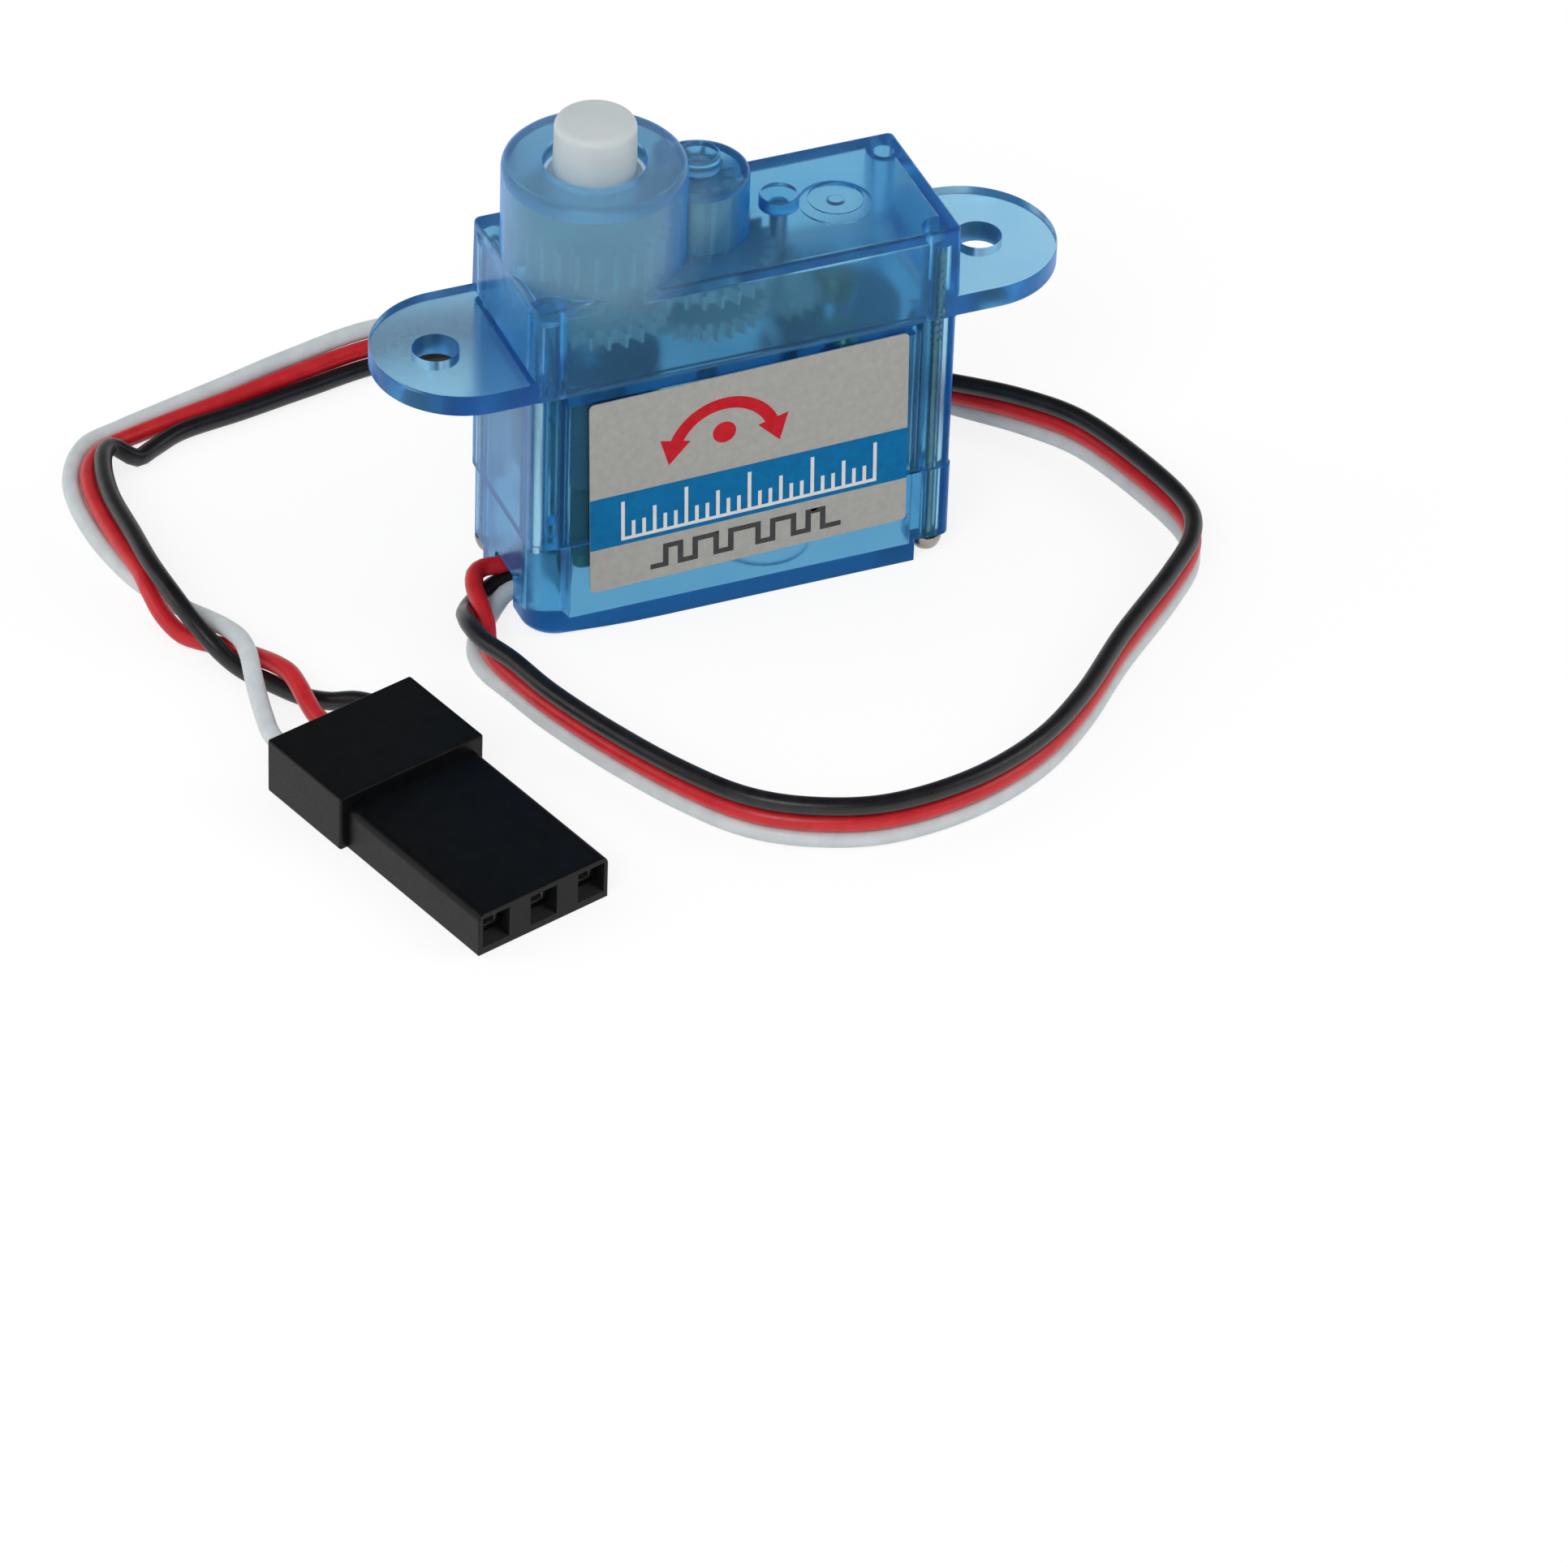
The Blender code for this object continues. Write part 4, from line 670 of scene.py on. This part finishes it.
def modelTopCover():
    size = topCoverSize
    half, wide = case["half"], size["half"]
    shell = block("topShell", (-half, -wide, size["low"]), (half, wide, size["roof"]))
    pickFaces(shell, lambda at, way: way.z > 0.9)
    bpy.ops.transform.resize(value=(1 - size["draft"] / half, 1 - size["draft"] / wide, 1))
    leaveEdit()
    roundOff(shell, size["corner"], 5, lambda a, b, turn: abs(a.z - b.z) > 1)
    roundOff(shell, size["edge"], 4, lambda a, b, turn: min(a.z, b.z) > size["roof"] - 0.01 and turn > 60)
    reach = size["earTip"] - wide
    ears = block("earPlate", (-reach, -wide, size["low"]), (reach, wide, size["earTop"]))
    joinOn(ears, rod("leftEar", -reach, 0, size["low"], size["earTop"], wide, 120),
           rod("rightEar", reach, 0, size["low"], size["earTop"], wide, 120))
    roundOff(ears, 0.07, 2, lambda a, b, turn: abs(a.z - b.z) < 0.01 and turn > 60)
    joinOn(shell, ears)
    low = size["roofInside"] + 0.1
    joinOn(shell, turnUp("boss", [(0, size["bossTop"], 0), (size["boss"], size["bossTop"], 0.45),
                                  (size["boss"], low, 0), (0, low, 0)], case["outputX"], 0, 120))
    joinOn(shell, turnUp("bump", [(0, size["bumpTop"], 0), (size["bump"], size["bumpTop"], 0.38),
                                  (size["bump"], low, 0), (0, low, 0)], case["idlerX"], 0, 96))
    joinOn(shell, turnUp("cap", [(0, size["capTop"], 0), (size["cap"], size["capTop"], 0.14),
                                 (size["cap"], 20.6, 0), (0, 20.6, 0)], case["idlerX"], 0, 64))
    joinOn(shell, turnUp("peg", [(0, size["pegTop"], 0), (size["peg"], size["pegTop"], 0.16),
                                 (size["peg"], 17.4, 0), (0, 17.4, 0)], case["firstX"], case["firstY"], 64))
    inner, deep = half - case["wall"], wide - case["wall"]
    room = block("coverRoom", (-inner, -deep, 12), (inner, deep, size["roofInside"]))
    roundOff(room, 0.2, 3, lambda a, b, turn: abs(a.z - b.z) > 1)
    roundOff(room, 0.14, 3, lambda a, b, turn: min(a.z, b.z) > size["roofInside"] - 0.01 and turn > 60)
    cutAway(shell, room)
    cutAway(shell, rod("bossRoom", case["outputX"], 0, 16.6, size["bossCeiling"],
                       size["boss"] - size["bossWall"], 120))
    cutAway(shell, rod("bumpRoom", case["idlerX"], 0, 16.55, size["bumpCeiling"],
                       size["bump"] - size["bumpWall"], 96))
    for side in (-1, 1):
        for way in (-1, 1):
            joinOn(shell, rod("post", side * case["screwX"], way * case["screwY"], size["low"],
                              size["roofInside"] + 0.2, size["post"], 48))
            depth = 16.8 if side * way < 0 else 16.9
            cutAway(shell, rod("postHole", side * case["screwX"], way * case["screwY"], 12, depth,
                               0.46, 40))
        joinOn(shell, rod("coverPeg", side * case["pegX"], side * case["pegY"], 11.3, 13.6, 0.4, 40))
    cutAway(shell, rod("idlerHole", case["idlerX"], 0, 20.1, 20.62, 0.47, 40),
            rod("firstHole", case["firstX"], case["firstY"], 16.85, 17.42, 0.42, 40),
            rod("leftEarHole", size["leftHole"], 0, 12, 16, size["hole"], 72),
            rod("rightEarHole", size["rightHole"], 0, 12, 16, size["hole"], 72),
            rod("journalBore", case["outputX"], 0, 21.2, 24, size["bore"], 96),
            rod("dimple", case["motorX"], 0, size["roof"] - size["dimpleDepth"], 19, size["dimple"], 72),
            rod("pocket", case["motorX"], 0, 16, size["roofInside"] + size["pocketDepth"],
                size["pocket"], 72))
    floor = size["roof"] - size["dimpleDepth"]    # the gate's mark stands in the middle of the dimple
    joinOn(shell, turnUp("gateMark", [(0, floor + 0.07, 0), (0.3, floor + 0.09, 0.05),
                                      (0.5, floor - 0.05, 0), (0, floor - 0.05, 0)],
                         case["motorX"], 0, 40))
    return handOver(shell, "topCover", "case", coverBlue, ["top_cover"])


middleCaseSize = {
    "half": 3.78, "low": 4.85, "high": 13.17, "deckLow": 12.2, "deckHigh": 12.9,
    "blockX": 8.20027, "blockY": 2.13, "corner": 0.3,
    "column": 0.74, "columnX": 8.95, "columnY": 2.9,
}


def crossRoom(name, x, inner, deep, blockX, blockY, low, high):
    # a room with its four corners left standing
    room = block(name, (x - inner, -blockY, low), (x + inner, blockY, high))
    joinOn(room, block(name + "Long", (x - blockX, -deep, low), (x + blockX, deep, high)))
    return room


def modelMiddleCase():
    size = middleCaseSize
    half, wide = case["half"], size["half"]
    shell = block("middleShell", (-half, -wide, size["low"]), (half, wide, size["high"]))
    roundOff(shell, size["corner"], 5, lambda a, b, turn: upright(a, b))
    roundOff(shell, 0.05, 2, lambda a, b, turn: turn > 60)
    inner, deep = half - case["wall"], wide - case["wall"]
    for low, high in ((3, size["deckLow"]), (size["deckHigh"], 15)):
        room = crossRoom("caseRoom", 0, inner, deep, size["blockX"], size["blockY"], low, high)
        roundOff(room, 0.15, 3, lambda a, b, turn: upright(a, b) and turn > 60)
        cutAway(shell, room)
    for side in (-1, 1):
        # wide columns with the long screws, and blind ones between the locating pegs
        cutAway(shell, rod("screwColumn", side * 9.03, -side * size["columnY"], 4, size["high"] + 1,
                           size["column"] + 0.02, 56))
        cutAway(shell, rod("pegColumn", side * size["columnX"], side * size["columnY"], 4,
                           size["high"] + 1, size["column"], 56))
    cutAway(shell, rod("idlerSeat", case["idlerX"], 0, 12.3, 14, 0.47, 40),
            rod("firstSeat", case["firstX"], case["firstY"], 12.3, 14, 0.42, 40),
            rod("stemHole", case["outputX"], 0, 11, 14, 0.99, 56),
            rod("motorHole", case["motorX"], 0, 11, 14, 1.02, 56))
    return handOver(shell, "middleCase", "case", clearBlue, ["middle_case"])


bottomCoverSize = {
    "half": 3.82, "shift": 0.12, "high": 4.82, "floor": 0.75, "bigRound": 1.6, "smallRound": 0.45,
    "leftFoot": 0.7, "rightFoot": 0.22, "blockX": 8.20027, "blockY": 2.17,
    "recessX": 8.40027, "recessY": 2.37, "recessHigh": 1.1,
    "slotLow": -1.35, "slotHigh": 0.95, "slotTop": 1.95, "slotDepth": 1.5,
}


def modelBottomCover():
    size = bottomCoverSize
    wide = size["half"]
    left, right = size["shift"] - case["half"], size["shift"] + case["half"]
    shell = block("bottomShell", (left, -wide, 0), (right, wide, size["high"]))
    roundOff(shell, size["bigRound"], 8, lambda a, b, turn: upright(a, b) and a.x * a.y > 0)
    roundOff(shell, size["smallRound"], 5, lambda a, b, turn: upright(a, b) and turn > 60)
    roundOff(shell, size["leftFoot"], 5, lambda a, b, turn: max(a.z, b.z) < 0.01
             and max(a.x, b.x) < left + size["bigRound"] + 0.01 and turn > 60)
    roundOff(shell, size["rightFoot"], 3, lambda a, b, turn: max(a.z, b.z) < 0.01
             and min(a.x, b.x) > right - size["bigRound"] - 0.01 and turn > 60)
    inner, deep = case["half"] - case["wall"], wide - case["wall"]
    room = crossRoom("baseRoom", size["shift"], inner, deep, size["blockX"], size["blockY"],
                     size["floor"], 6)
    roundOff(room, 0.15, 3, lambda a, b, turn: upright(a, b) and turn > 60)
    roundOff(room, 0.12, 2, lambda a, b, turn: max(a.z, b.z) < size["floor"] + 0.01 and turn > 60)
    cutAway(shell, room)
    for side in (-1, 1):
        joinOn(shell, rod("basePeg", side * case["pegX"], side * case["pegY"], 3.9, 5.82, 0.4, 40))
        low = (size["recessX"], -6, -1) if side > 0 else (-12, size["recessY"], -1)
        high = (12, -size["recessY"], size["recessHigh"]) if side > 0 else (
            -size["recessX"], 6, size["recessHigh"])
        cutAway(shell, block("screwRecess", low, high))
        cutAway(shell, rod("screwHole", side * case["screwX"], -side * case["screwY"], 0.5, 6, 0.47, 40))
    ring = turnUp("ejectorRing", [(1.95, 0.6, 0), (2.2, 0.6, 0), (2.15, 0.87, 0.03), (2.0, 0.87, 0.03),
                                  (1.95, 0.6, 0)], 2.2, -0.6, 72)
    joinOn(shell, ring)
    slot = block("leadSlot", (left - 1, size["slotLow"], -1),
                 (left + size["slotDepth"], size["slotHigh"], size["slotTop"]))
    roundOff(slot, 0.3, 4, lambda a, b, turn: min(a.z, b.z) > size["slotTop"] - 0.01
             and abs(a.y - b.y) < 0.01)
    cutAway(shell, slot)
    return handOver(shell, "bottomCover", "case", clearBlue, ["bottom_cover"])


modelTopCover()
modelMiddleCase()
modelBottomCover()
print("case shells made")


# Case screws: threaded shanks with slotted pan heads
screwSize = {
    "shank": 0.33, "crest": 0.41, "pitch": 0.42, "tip": 16.6, "threadLow": 11.4,
    "head": 0.73, "headLow": 0.25, "headHigh": 1.07, "slotWide": 0.2, "slotDeep": 0.28,
}


def modelScrew(side):
    size = screwSize
    low, high = size["headLow"], size["headHigh"]
    screw = turnUp("screwCore", [
        (0, size["tip"], 0), (0.12, size["tip"], 0.04), (size["shank"], size["tip"] - 0.55, 0.05),
        (size["shank"], high, 0), (size["head"], high, 0.06), (size["head"], high - 0.28, 0.2),
        (size["head"] * 0.72, low + 0.06, 0.2), (0, low, 0)], 0, 0, 40)
    for turn in (0, 90):
        slot = block("driveSlot", (-0.42, -size["slotWide"] / 2, low - 1),
                     (0.42, size["slotWide"] / 2, low + size["slotDeep"]))
        slot.rotation_euler = (0, 0, math.radians(turn + 20))
        cutAway(screw, settle(slot))
    # the thread is one ridge wound up the shank
    putAside()
    bpy.ops.mesh.primitive_circle_add(vertices=3, radius=0.1, fill_type="NGON", location=(0, 0, 0),
                                      rotation=(math.radians(90), 0, 0))
    ridge = settle(bpy.context.active_object)
    corners = [(size["crest"], 0), (size["shank"] - 0.04, 0.12), (size["shank"] - 0.04, -0.12)]
    for vert, (r, z) in zip(ridge.data.vertices, corners):
        vert.co = (r, 0, z + size["threadLow"])
    takeUp(ridge)
    wind = ridge.modifiers.new("wind", "SCREW")
    wind.axis = "Z"
    wind.angle = math.tau
    wind.screw_offset = size["pitch"]
    wind.iterations = int((size["tip"] - 0.5 - size["threadLow"]) / size["pitch"])
    wind.steps = wind.render_steps = 24
    wind.use_normal_calculate = True
    bpy.ops.object.modifier_apply(modifier=wind.name)
    bpy.ops.object.mode_set(mode="EDIT")
    bpy.ops.mesh.select_mode(type="VERT")
    bpy.ops.mesh.select_all(action="SELECT")
    bpy.ops.mesh.remove_doubles(threshold=0.0005)
    bpy.ops.mesh.select_all(action="SELECT")
    bpy.ops.mesh.fill_holes(sides=3)             # closes the two ends of the ridge
    bpy.ops.mesh.select_all(action="SELECT")
    bpy.ops.mesh.normals_make_consistent(inside=False)
    leaveEdit()
    takeUp(screw)
    ridge.select_set(True)
    bpy.ops.object.join()
    screw.location = (side * case["screwX"], -side * case["screwY"], 0)
    settle(screw)
    where = "Front" if side > 0 else "Rear"
    return handOver(screw, "caseScrew" + where, "case", screwSteel,
                    ["case_screw_" + where.lower()])


modelScrew(1)
modelScrew(-1)
print("screws made")


# Output gear with its shaft
shaftSize = {"radius": 1.85, "taper": 0.05, "top": 24.5, "journal": 2.13, "journalTop": 21.75, "stem": 0.85,
             "low": 13.3, "bore": 0.57, "boreTop": 16.3, "teeth": 28, "tip": 3.6011, "root": 3.104,
             "gearLow": 18.1, "gearHigh": 19.9}


def modelOutput():
    size = shaftSize
    shaft = turnUp("shaftTurned", [
        (0, size["top"], 0), (size["radius"] - size["taper"], size["top"], 0.36),
        (size["radius"], size["journalTop"], 0.1), (size["journal"], size["journalTop"], 0.12),
        (size["journal"], size["gearLow"] + 0.3, 0),
        (size["stem"], size["gearLow"] + 0.3, 0), (size["stem"], size["low"], 0),
        (size["bore"], size["low"], 0), (size["bore"], size["boreTop"], 0), (0, size["boreTop"], 0)],
        0, 0, 112)
    gear = rod("gearBlank", 0, 0, size["gearLow"], size["gearHigh"], size["tip"], 4 * size["teeth"])
    step = math.tau / (4 * size["teeth"])
    takeUp(gear)
    bpy.ops.object.mode_set(mode="EDIT")
    bpy.ops.mesh.select_mode(type="VERT")
    bpy.ops.mesh.select_all(action="DESELECT")
    mesh = bmesh.from_edit_mesh(gear.data)
    for vert in mesh.verts:
        turn = round(math.atan2(vert.co.y, vert.co.x) / step) % 4
        vert.select_set(turn in (0, 1))
    bpy.ops.transform.resize(value=(size["root"] / size["tip"], size["root"] / size["tip"], 1))
    leaveEdit()
    gear.rotation_euler = (0, 0, -step / 2)      # a tooth gap faces the idler
    settle(gear)
    joinOn(gear, shaft)
    gear.location = (case["outputX"], 0, 0)
    settle(gear)
    return handOver(gear, "outputGear", "output", whiteNylon, ["output_gear"])


modelOutput()
print("output gear made")


# Gear pins: ground steel with softened ends
pinSize = {"idlerRadius": 0.45, "idlerTop": 20.55, "firstRadius": 0.4, "firstTop": 17.36, "low": 12.35}


def modelPin(name, x, y, radius, top, node):
    pin = turnUp(name, [(0, top, 0), (radius, top, 0.08), (radius, pinSize["low"], 0.08),
                        (0, pinSize["low"], 0)], x, y, 40)
    return handOver(pin, name, "case", plainSteel, [node])


modelPin("idlerPin", case["idlerX"], 0, pinSize["idlerRadius"], pinSize["idlerTop"], "idler_pin")
modelPin("firstGearPin", case["firstX"], case["firstY"], pinSize["firstRadius"], pinSize["firstTop"],
         "first_gear_pin")
print("gear pins made")


# Label: a silver film with printed marks
labelSize = {
    "length": 15.1, "height": 10.2, "film": 0.06, "ink": 0.008, "x": 0.22, "y": -3.84, "z": 7.4,
    "tilt": 1.3, "stripeTop": -0.04, "stripeLow": -2.8,
}


def placeOnCase(piece):
    piece.rotation_euler = (math.pi / 2, -math.radians(labelSize["tilt"]), 0)
    piece.location = (labelSize["x"], labelSize["y"], labelSize["z"])
    return settle(piece)


def modelLabel():
    size = labelSize
    film = block("labelFilm", (-size["length"] / 2, -size["height"] / 2, 0),
                 (size["length"] / 2, size["height"] / 2, size["film"]))
    roundOff(film, 0.25, 4, lambda a, b, turn: upright(a, b))
    placeOnCase(film)
    return handOver(film, "labelFilm", "case", labelSilver, ["front_label"])


def inkBox(x0, x1, y0, y1):
    low = labelSize["film"] + 0.001
    return block("inkBox", (x0, y0, low), (x1, y1, low + labelSize["ink"]))


def modelPrint():
    size = labelSize
    half = size["length"] / 2
    ground = inkBox(-half, half, size["stripeLow"], size["stripeTop"])
    roundOff(ground, 0.05, 3, lambda a, b, turn: upright(a, b))
    handOver(placeOnCase(ground), "labelStripe", "case", blueInk)
    # white scale of travel on the stripe
    marks = []
    for step in range(-12, 13):
        tall = 1.95 if step % 6 == 0 else 1.35 if step % 3 == 0 else 0.8
        marks.append((step * 0.5, tall))
    ticks = [inkBox(x - 0.085, x + 0.085, -2.4, -2.4 + tall) for x, tall in marks]
    for tick in ticks:
        tick.location.z = size["ink"]
    base = inkBox(-6.085, 6.085, -2.57, -2.4)
    base.location.z = size["ink"]
    handOver(placeOnCase(settle(gather(base, ticks))), "labelScale", "case", whiteInk)
    # red arc with an arrow head at each end
    low = size["film"] + 0.001
    arc = turnUp("labelArc", [(2.15, low, 0), (2.75, low, 0), (2.75, low + size["ink"], 0),
                              (2.15, low + size["ink"], 0), (2.15, low, 0)], 0, 0, 120)
    cut = block("arcCut", (-4, -4, -1), (4, 0.75, 1))
    cutAway(arc, cut)
    heads = []
    for side in (-1, 1):
        putAside()
        bpy.ops.mesh.primitive_cylinder_add(vertices=3, radius=0.85, depth=size["ink"],
                                            location=(side * 2.42, 0.62, low + size["ink"] / 2),
                                            rotation=(0, 0, math.pi + side * math.radians(14)))
        heads.append(settle(bpy.context.active_object))
    for head in heads:
        joinOn(arc, head)
    joinOn(arc, rod("arcHub", 0, 0.9, low, low + size["ink"], 0.55, 48))
    arc.location = (-1.2, 1.15, 0)
    settle(arc)
    handOver(placeOnCase(arc), "labelArc", "case", redInk)
    # black pulse train
    pulses = []
    x, thick = -4.7, 0.26
    for wide in (0.7, 1.0, 1.3, 1.0, 0.7):
        pulses += [inkBox(x, x + 0.7, -4.55, -4.55 + thick), inkBox(x + 0.6, x + 0.6 + thick, -4.55, -3.3),
                   inkBox(x + 0.6, x + 0.6 + wide + thick, -3.3 - thick, -3.3),
                   inkBox(x + 0.6 + wide, x + 0.6 + wide + thick, -4.55, -3.3)]
        x += 0.6 + wide + 0.1
    pulses.append(inkBox(x, x + 0.9, -4.55, -4.55 + thick))
    line = pulses[0]
    for other in pulses[1:]:
        joinOn(line, other)
    handOver(placeOnCase(line), "labelPulse", "case", blackInk)


modelLabel()
modelPrint()
print("label made")


# Motor: a drawn can with windows and crimps, and a moulded end cap
motorSize = {"radius": 3.2, "wall": 0.25, "boss": 1.0, "bossHigh": 0.45, "hole": 0.37, "shoulder": 0.5,
             "capRadius": 2.91, "windowWide": 1.1, "windowHigh": 1.5, "crimp": 0.45}


def modelMotorCan():
    size = motorSize
    low, high = nodeBox("motor_can")
    top, inside = high[2] - size["bossHigh"], size["radius"] - size["wall"]
    can = turnUp("canDrawn", [
        (size["hole"], high[2], 0), (size["boss"], high[2], 0.1), (size["boss"], top, 0.06),
        (size["radius"], top, size["shoulder"]), (size["radius"], low[2], 0.05), (inside, low[2], 0.05),
        (inside, top - size["wall"], 0.3), (size["hole"], top - size["wall"], 0),
        (size["hole"], high[2], 0)], 0, 0, 96)
    window = block("canWindow", (2, -size["windowWide"] / 2, top - 2.6),
                   (4, size["windowWide"] / 2, top - 2.6 + size["windowHigh"]))
    roundOff(window, 0.3, 4, lambda a, b, turn: abs(a.x - b.x) > 1)
    crimp = block("canCrimp", (2, -size["crimp"] / 2, low[2] + 0.25), (4, size["crimp"] / 2, low[2] + 0.5))
    cutAway(can, copyOf(window, turn=180), window)
    for turn in (45, 135, 225):
        cutAway(can, copyOf(crimp, turn=turn))
    cutAway(can, copyOf(crimp, turn=315), crimp)
    can.location = (case["motorX"], 0, 0)
    return handOver(settle(can), "motorCan", "case", plainSteel, ["motor_can"])


def modelEndCap():
    size = motorSize
    low, high = nodeBox("motor_end_cap")
    cap = turnUp("capMoulded", [
        (size["hole"], high[2], 0), (size["capRadius"], high[2], 0.06), (size["capRadius"], low[2], 0.1),
        (2.3, low[2], 0.04), (2.2, low[2] + 0.2, 0.04), (1.2, low[2] + 0.2, 0.04), (1.1, low[2], 0.04),
        (size["hole"], low[2], 0), (size["hole"], high[2], 0)], 0, 0, 72)
    vent = block("capVent", (1.3, -0.35, low[2] - 1), (2.1, 0.35, high[2] + 1))
    cutAway(cap, copyOf(vent, turn=180), vent)
    cap.location = (case["motorX"], 0, 0)
    return handOver(settle(cap), "motorEndCap", "case", greyPlastic, ["motor_end_cap"])


modelMotorCan()
modelEndCap()
print("motor made")


# Potentiometer body: a moulded cup with a grip groove and a flat for its terminals
potSize = {"radius": 3.0, "wall": 0.4, "base": 2.4, "pivot": 0.47, "pivotDeep": 0.8, "groove": 0.12}


def modelPotBody():
    size = potSize
    low, high = nodeBox("pot_body")
    floor = low[2] + size["base"]
    cup = turnUp("potCup", [
        (0, floor - size["pivotDeep"], 0), (size["pivot"], floor - size["pivotDeep"], 0),
        (size["pivot"], floor, 0.05), (size["radius"] - size["wall"], floor, 0.15),
        (size["radius"] - size["wall"], high[2], 0.05), (size["radius"], high[2], 0.08),
        (size["radius"], floor + 0.5, 0.06), (size["radius"] - size["groove"], floor + 0.4, 0.06),
        (size["radius"] - size["groove"], floor, 0.06), (size["radius"], floor - 0.1, 0.06),
        (size["radius"], low[2], 0.18), (0, low[2], 0)], 0, 0, 88)
    cutAway(cup, block("terminalFlat", (-2.2, 2.7, low[2] - 1), (2.2, 4, low[2] + 1.6)))
    cup.location = (case["outputX"], 0, 0)
    return handOver(settle(cup), "potBody", "case", greyPlastic, ["pot_body"])


modelPotBody()
print("potentiometer made")


# Board with its chips, capacitor and solder
boardSize = {"corner": 0.4, "leadFit": 0.1, "joint": 0.5, "jointHigh": 0.42,
             "legWide": 0.2, "legThick": 0.09, "legReach": 0.45}
leadNodes = ["motor_lead_front", "motor_lead_rear", "pot_lead_left", "pot_lead_middle", "pot_lead_right"]


def modelBoard():
    size = boardSize
    low, high = nodeBox("circuit_board")
    board = block("boardPlate", low, high)
    roundOff(board, size["corner"], 4, lambda a, b, turn: upright(a, b))
    joint = turnUp("joint", [(0, low[2] + 0.1, 0), (size["joint"], low[2] + 0.1, 0),
                             (size["joint"], low[2] - 0.05, 0.04), (0.36, low[2] - 0.2, 0.1),
                             (0.3, low[2] - size["jointHigh"], 0.06), (0, low[2] - size["jointHigh"], 0)],
                   0, 0, 28)
    joints = []
    for name in leadNodes:
        near, far = nodeBox(name)
        fitted = size["leadFit"]
        cutAway(board, block("leadHole", (near[0] - fitted, near[1] - fitted, low[2] - 1),
                             (far[0] + fitted, far[1] + fitted, high[2] + 1)))
        joints.append(copyOf(joint, (near[0] + far[0]) / 2, (near[1] + far[1]) / 2))
    bpy.data.objects.remove(joint, do_unlink=True)
    handOver(gather(joints[0], joints[1:]), "boardSolder", "case", tinnedMetal)
    return handOver(board, "circuitBoard", "case", boardGreen, ["circuit_board"])


def modelChip(name, node, count, under):
    # a bevelled body with a pin one dimple, and a row of bent legs along each long side
    size = boardSize
    low, high = nodeBox(node)
    middle = [(a + b) / 2 for a, b in zip(low, high)]
    body = block("chipBody", low, high)
    for way in (1, -1):
        pickFaces(body, lambda at, turn: turn.z * way > 0.9)
        bpy.ops.transform.resize(value=(0.95, 0.92, 1))
        leaveEdit()
    roundOff(body, 0.05, 2, lambda a, b, turn: turn > 20)
    face = low[2] if under else high[2]
    cutAway(body, rod("pinOne", low[0] + 0.45, low[1] + 0.45, face - 0.06, face + 0.06, 0.16, 24))
    handOver(body, name, "case", blackPlastic, [node])
    wide, thick, reach = size["legWide"] / 2, size["legThick"], size["legReach"]
    foot = high[2] - thick if under else low[2]
    side = (high[1] - low[1]) / 2
    knee, bend = sorted((middle[2], foot)), side + reach / 2
    leg = block("leg", (-wide, side - 0.3, middle[2] - thick / 2), (wide, bend, middle[2] + thick / 2))
    joinOn(leg, block("legDrop", (-wide, bend - thick, knee[0]), (wide, bend, knee[1] + thick / 2)),
           block("legFoot", (-wide, bend - thick / 2, foot), (wide, side + reach, foot + thick)))
    pitch = (high[0] - low[0]) / count
    row = []
    for index in range(count):
        along = (index + 0.5) * pitch - (high[0] - low[0]) / 2
        row += [copyOf(leg, middle[0] + along, middle[1]), copyOf(leg, middle[0] - along, middle[1], 180)]
    bpy.data.objects.remove(leg, do_unlink=True)
    handOver(gather(row[0], row[1:]), name + "Legs", "case", tinnedMetal)


def modelCapacitor():
    low, high = nodeBox("capacitor")
    radius = (high[0] - low[0]) / 2
    can = turnUp("capacitorCan", [
        (0, high[2] - 0.08, 0), (radius - 0.3, high[2] - 0.08, 0.04), (radius - 0.2, high[2], 0.05),
        (radius, high[2], 0.16), (radius, low[2] + 0.95, 0.08), (radius - 0.14, low[2] + 0.8, 0.08),
        (radius, low[2] + 0.65, 0.08), (radius, low[2], 0.12), (0, low[2], 0)],
        (low[0] + high[0]) / 2, (low[1] + high[1]) / 2, 56)
    return handOver(can, "capacitorCan", "case", blackPlastic, ["capacitor"])


modelBoard()
modelChip("controlChip", "control_chip", 6, True)
modelChip("driverChip", "driver_chip", 4, False)
modelCapacitor()
print("board made")


# Finishes of the nodes that keep their CAD shape
keptNodes = {
    "whiteNylon": (whiteNylon, ["first_gear", "second_gear", "third_gear", "fourth_gear", "pot_wiper"]),
    "plainSteel": (plainSteel, ["motor_shaft"]),
    "turnedBrass": (turnedBrass, ["motor_pinion"]),
    "ferriteGrey": (ferriteGrey, ["motor_magnet"]),
    "copperWire": (copperWire, ["motor_armature", "motor_commutator"]),
    "tinnedMetal": (tinnedMetal, ["pot_cover", "motor_lead_front", "motor_lead_rear", "pot_lead_left",
                                  "pot_lead_middle", "pot_lead_right", "plug_contact_1",
                                  "plug_contact_2", "plug_contact_3"]),
}
for finish, names in keptNodes.values():
    for name in names:
        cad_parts[name].data.materials.clear()
        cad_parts[name].data.materials.append(finish)
print("kept nodes finished")
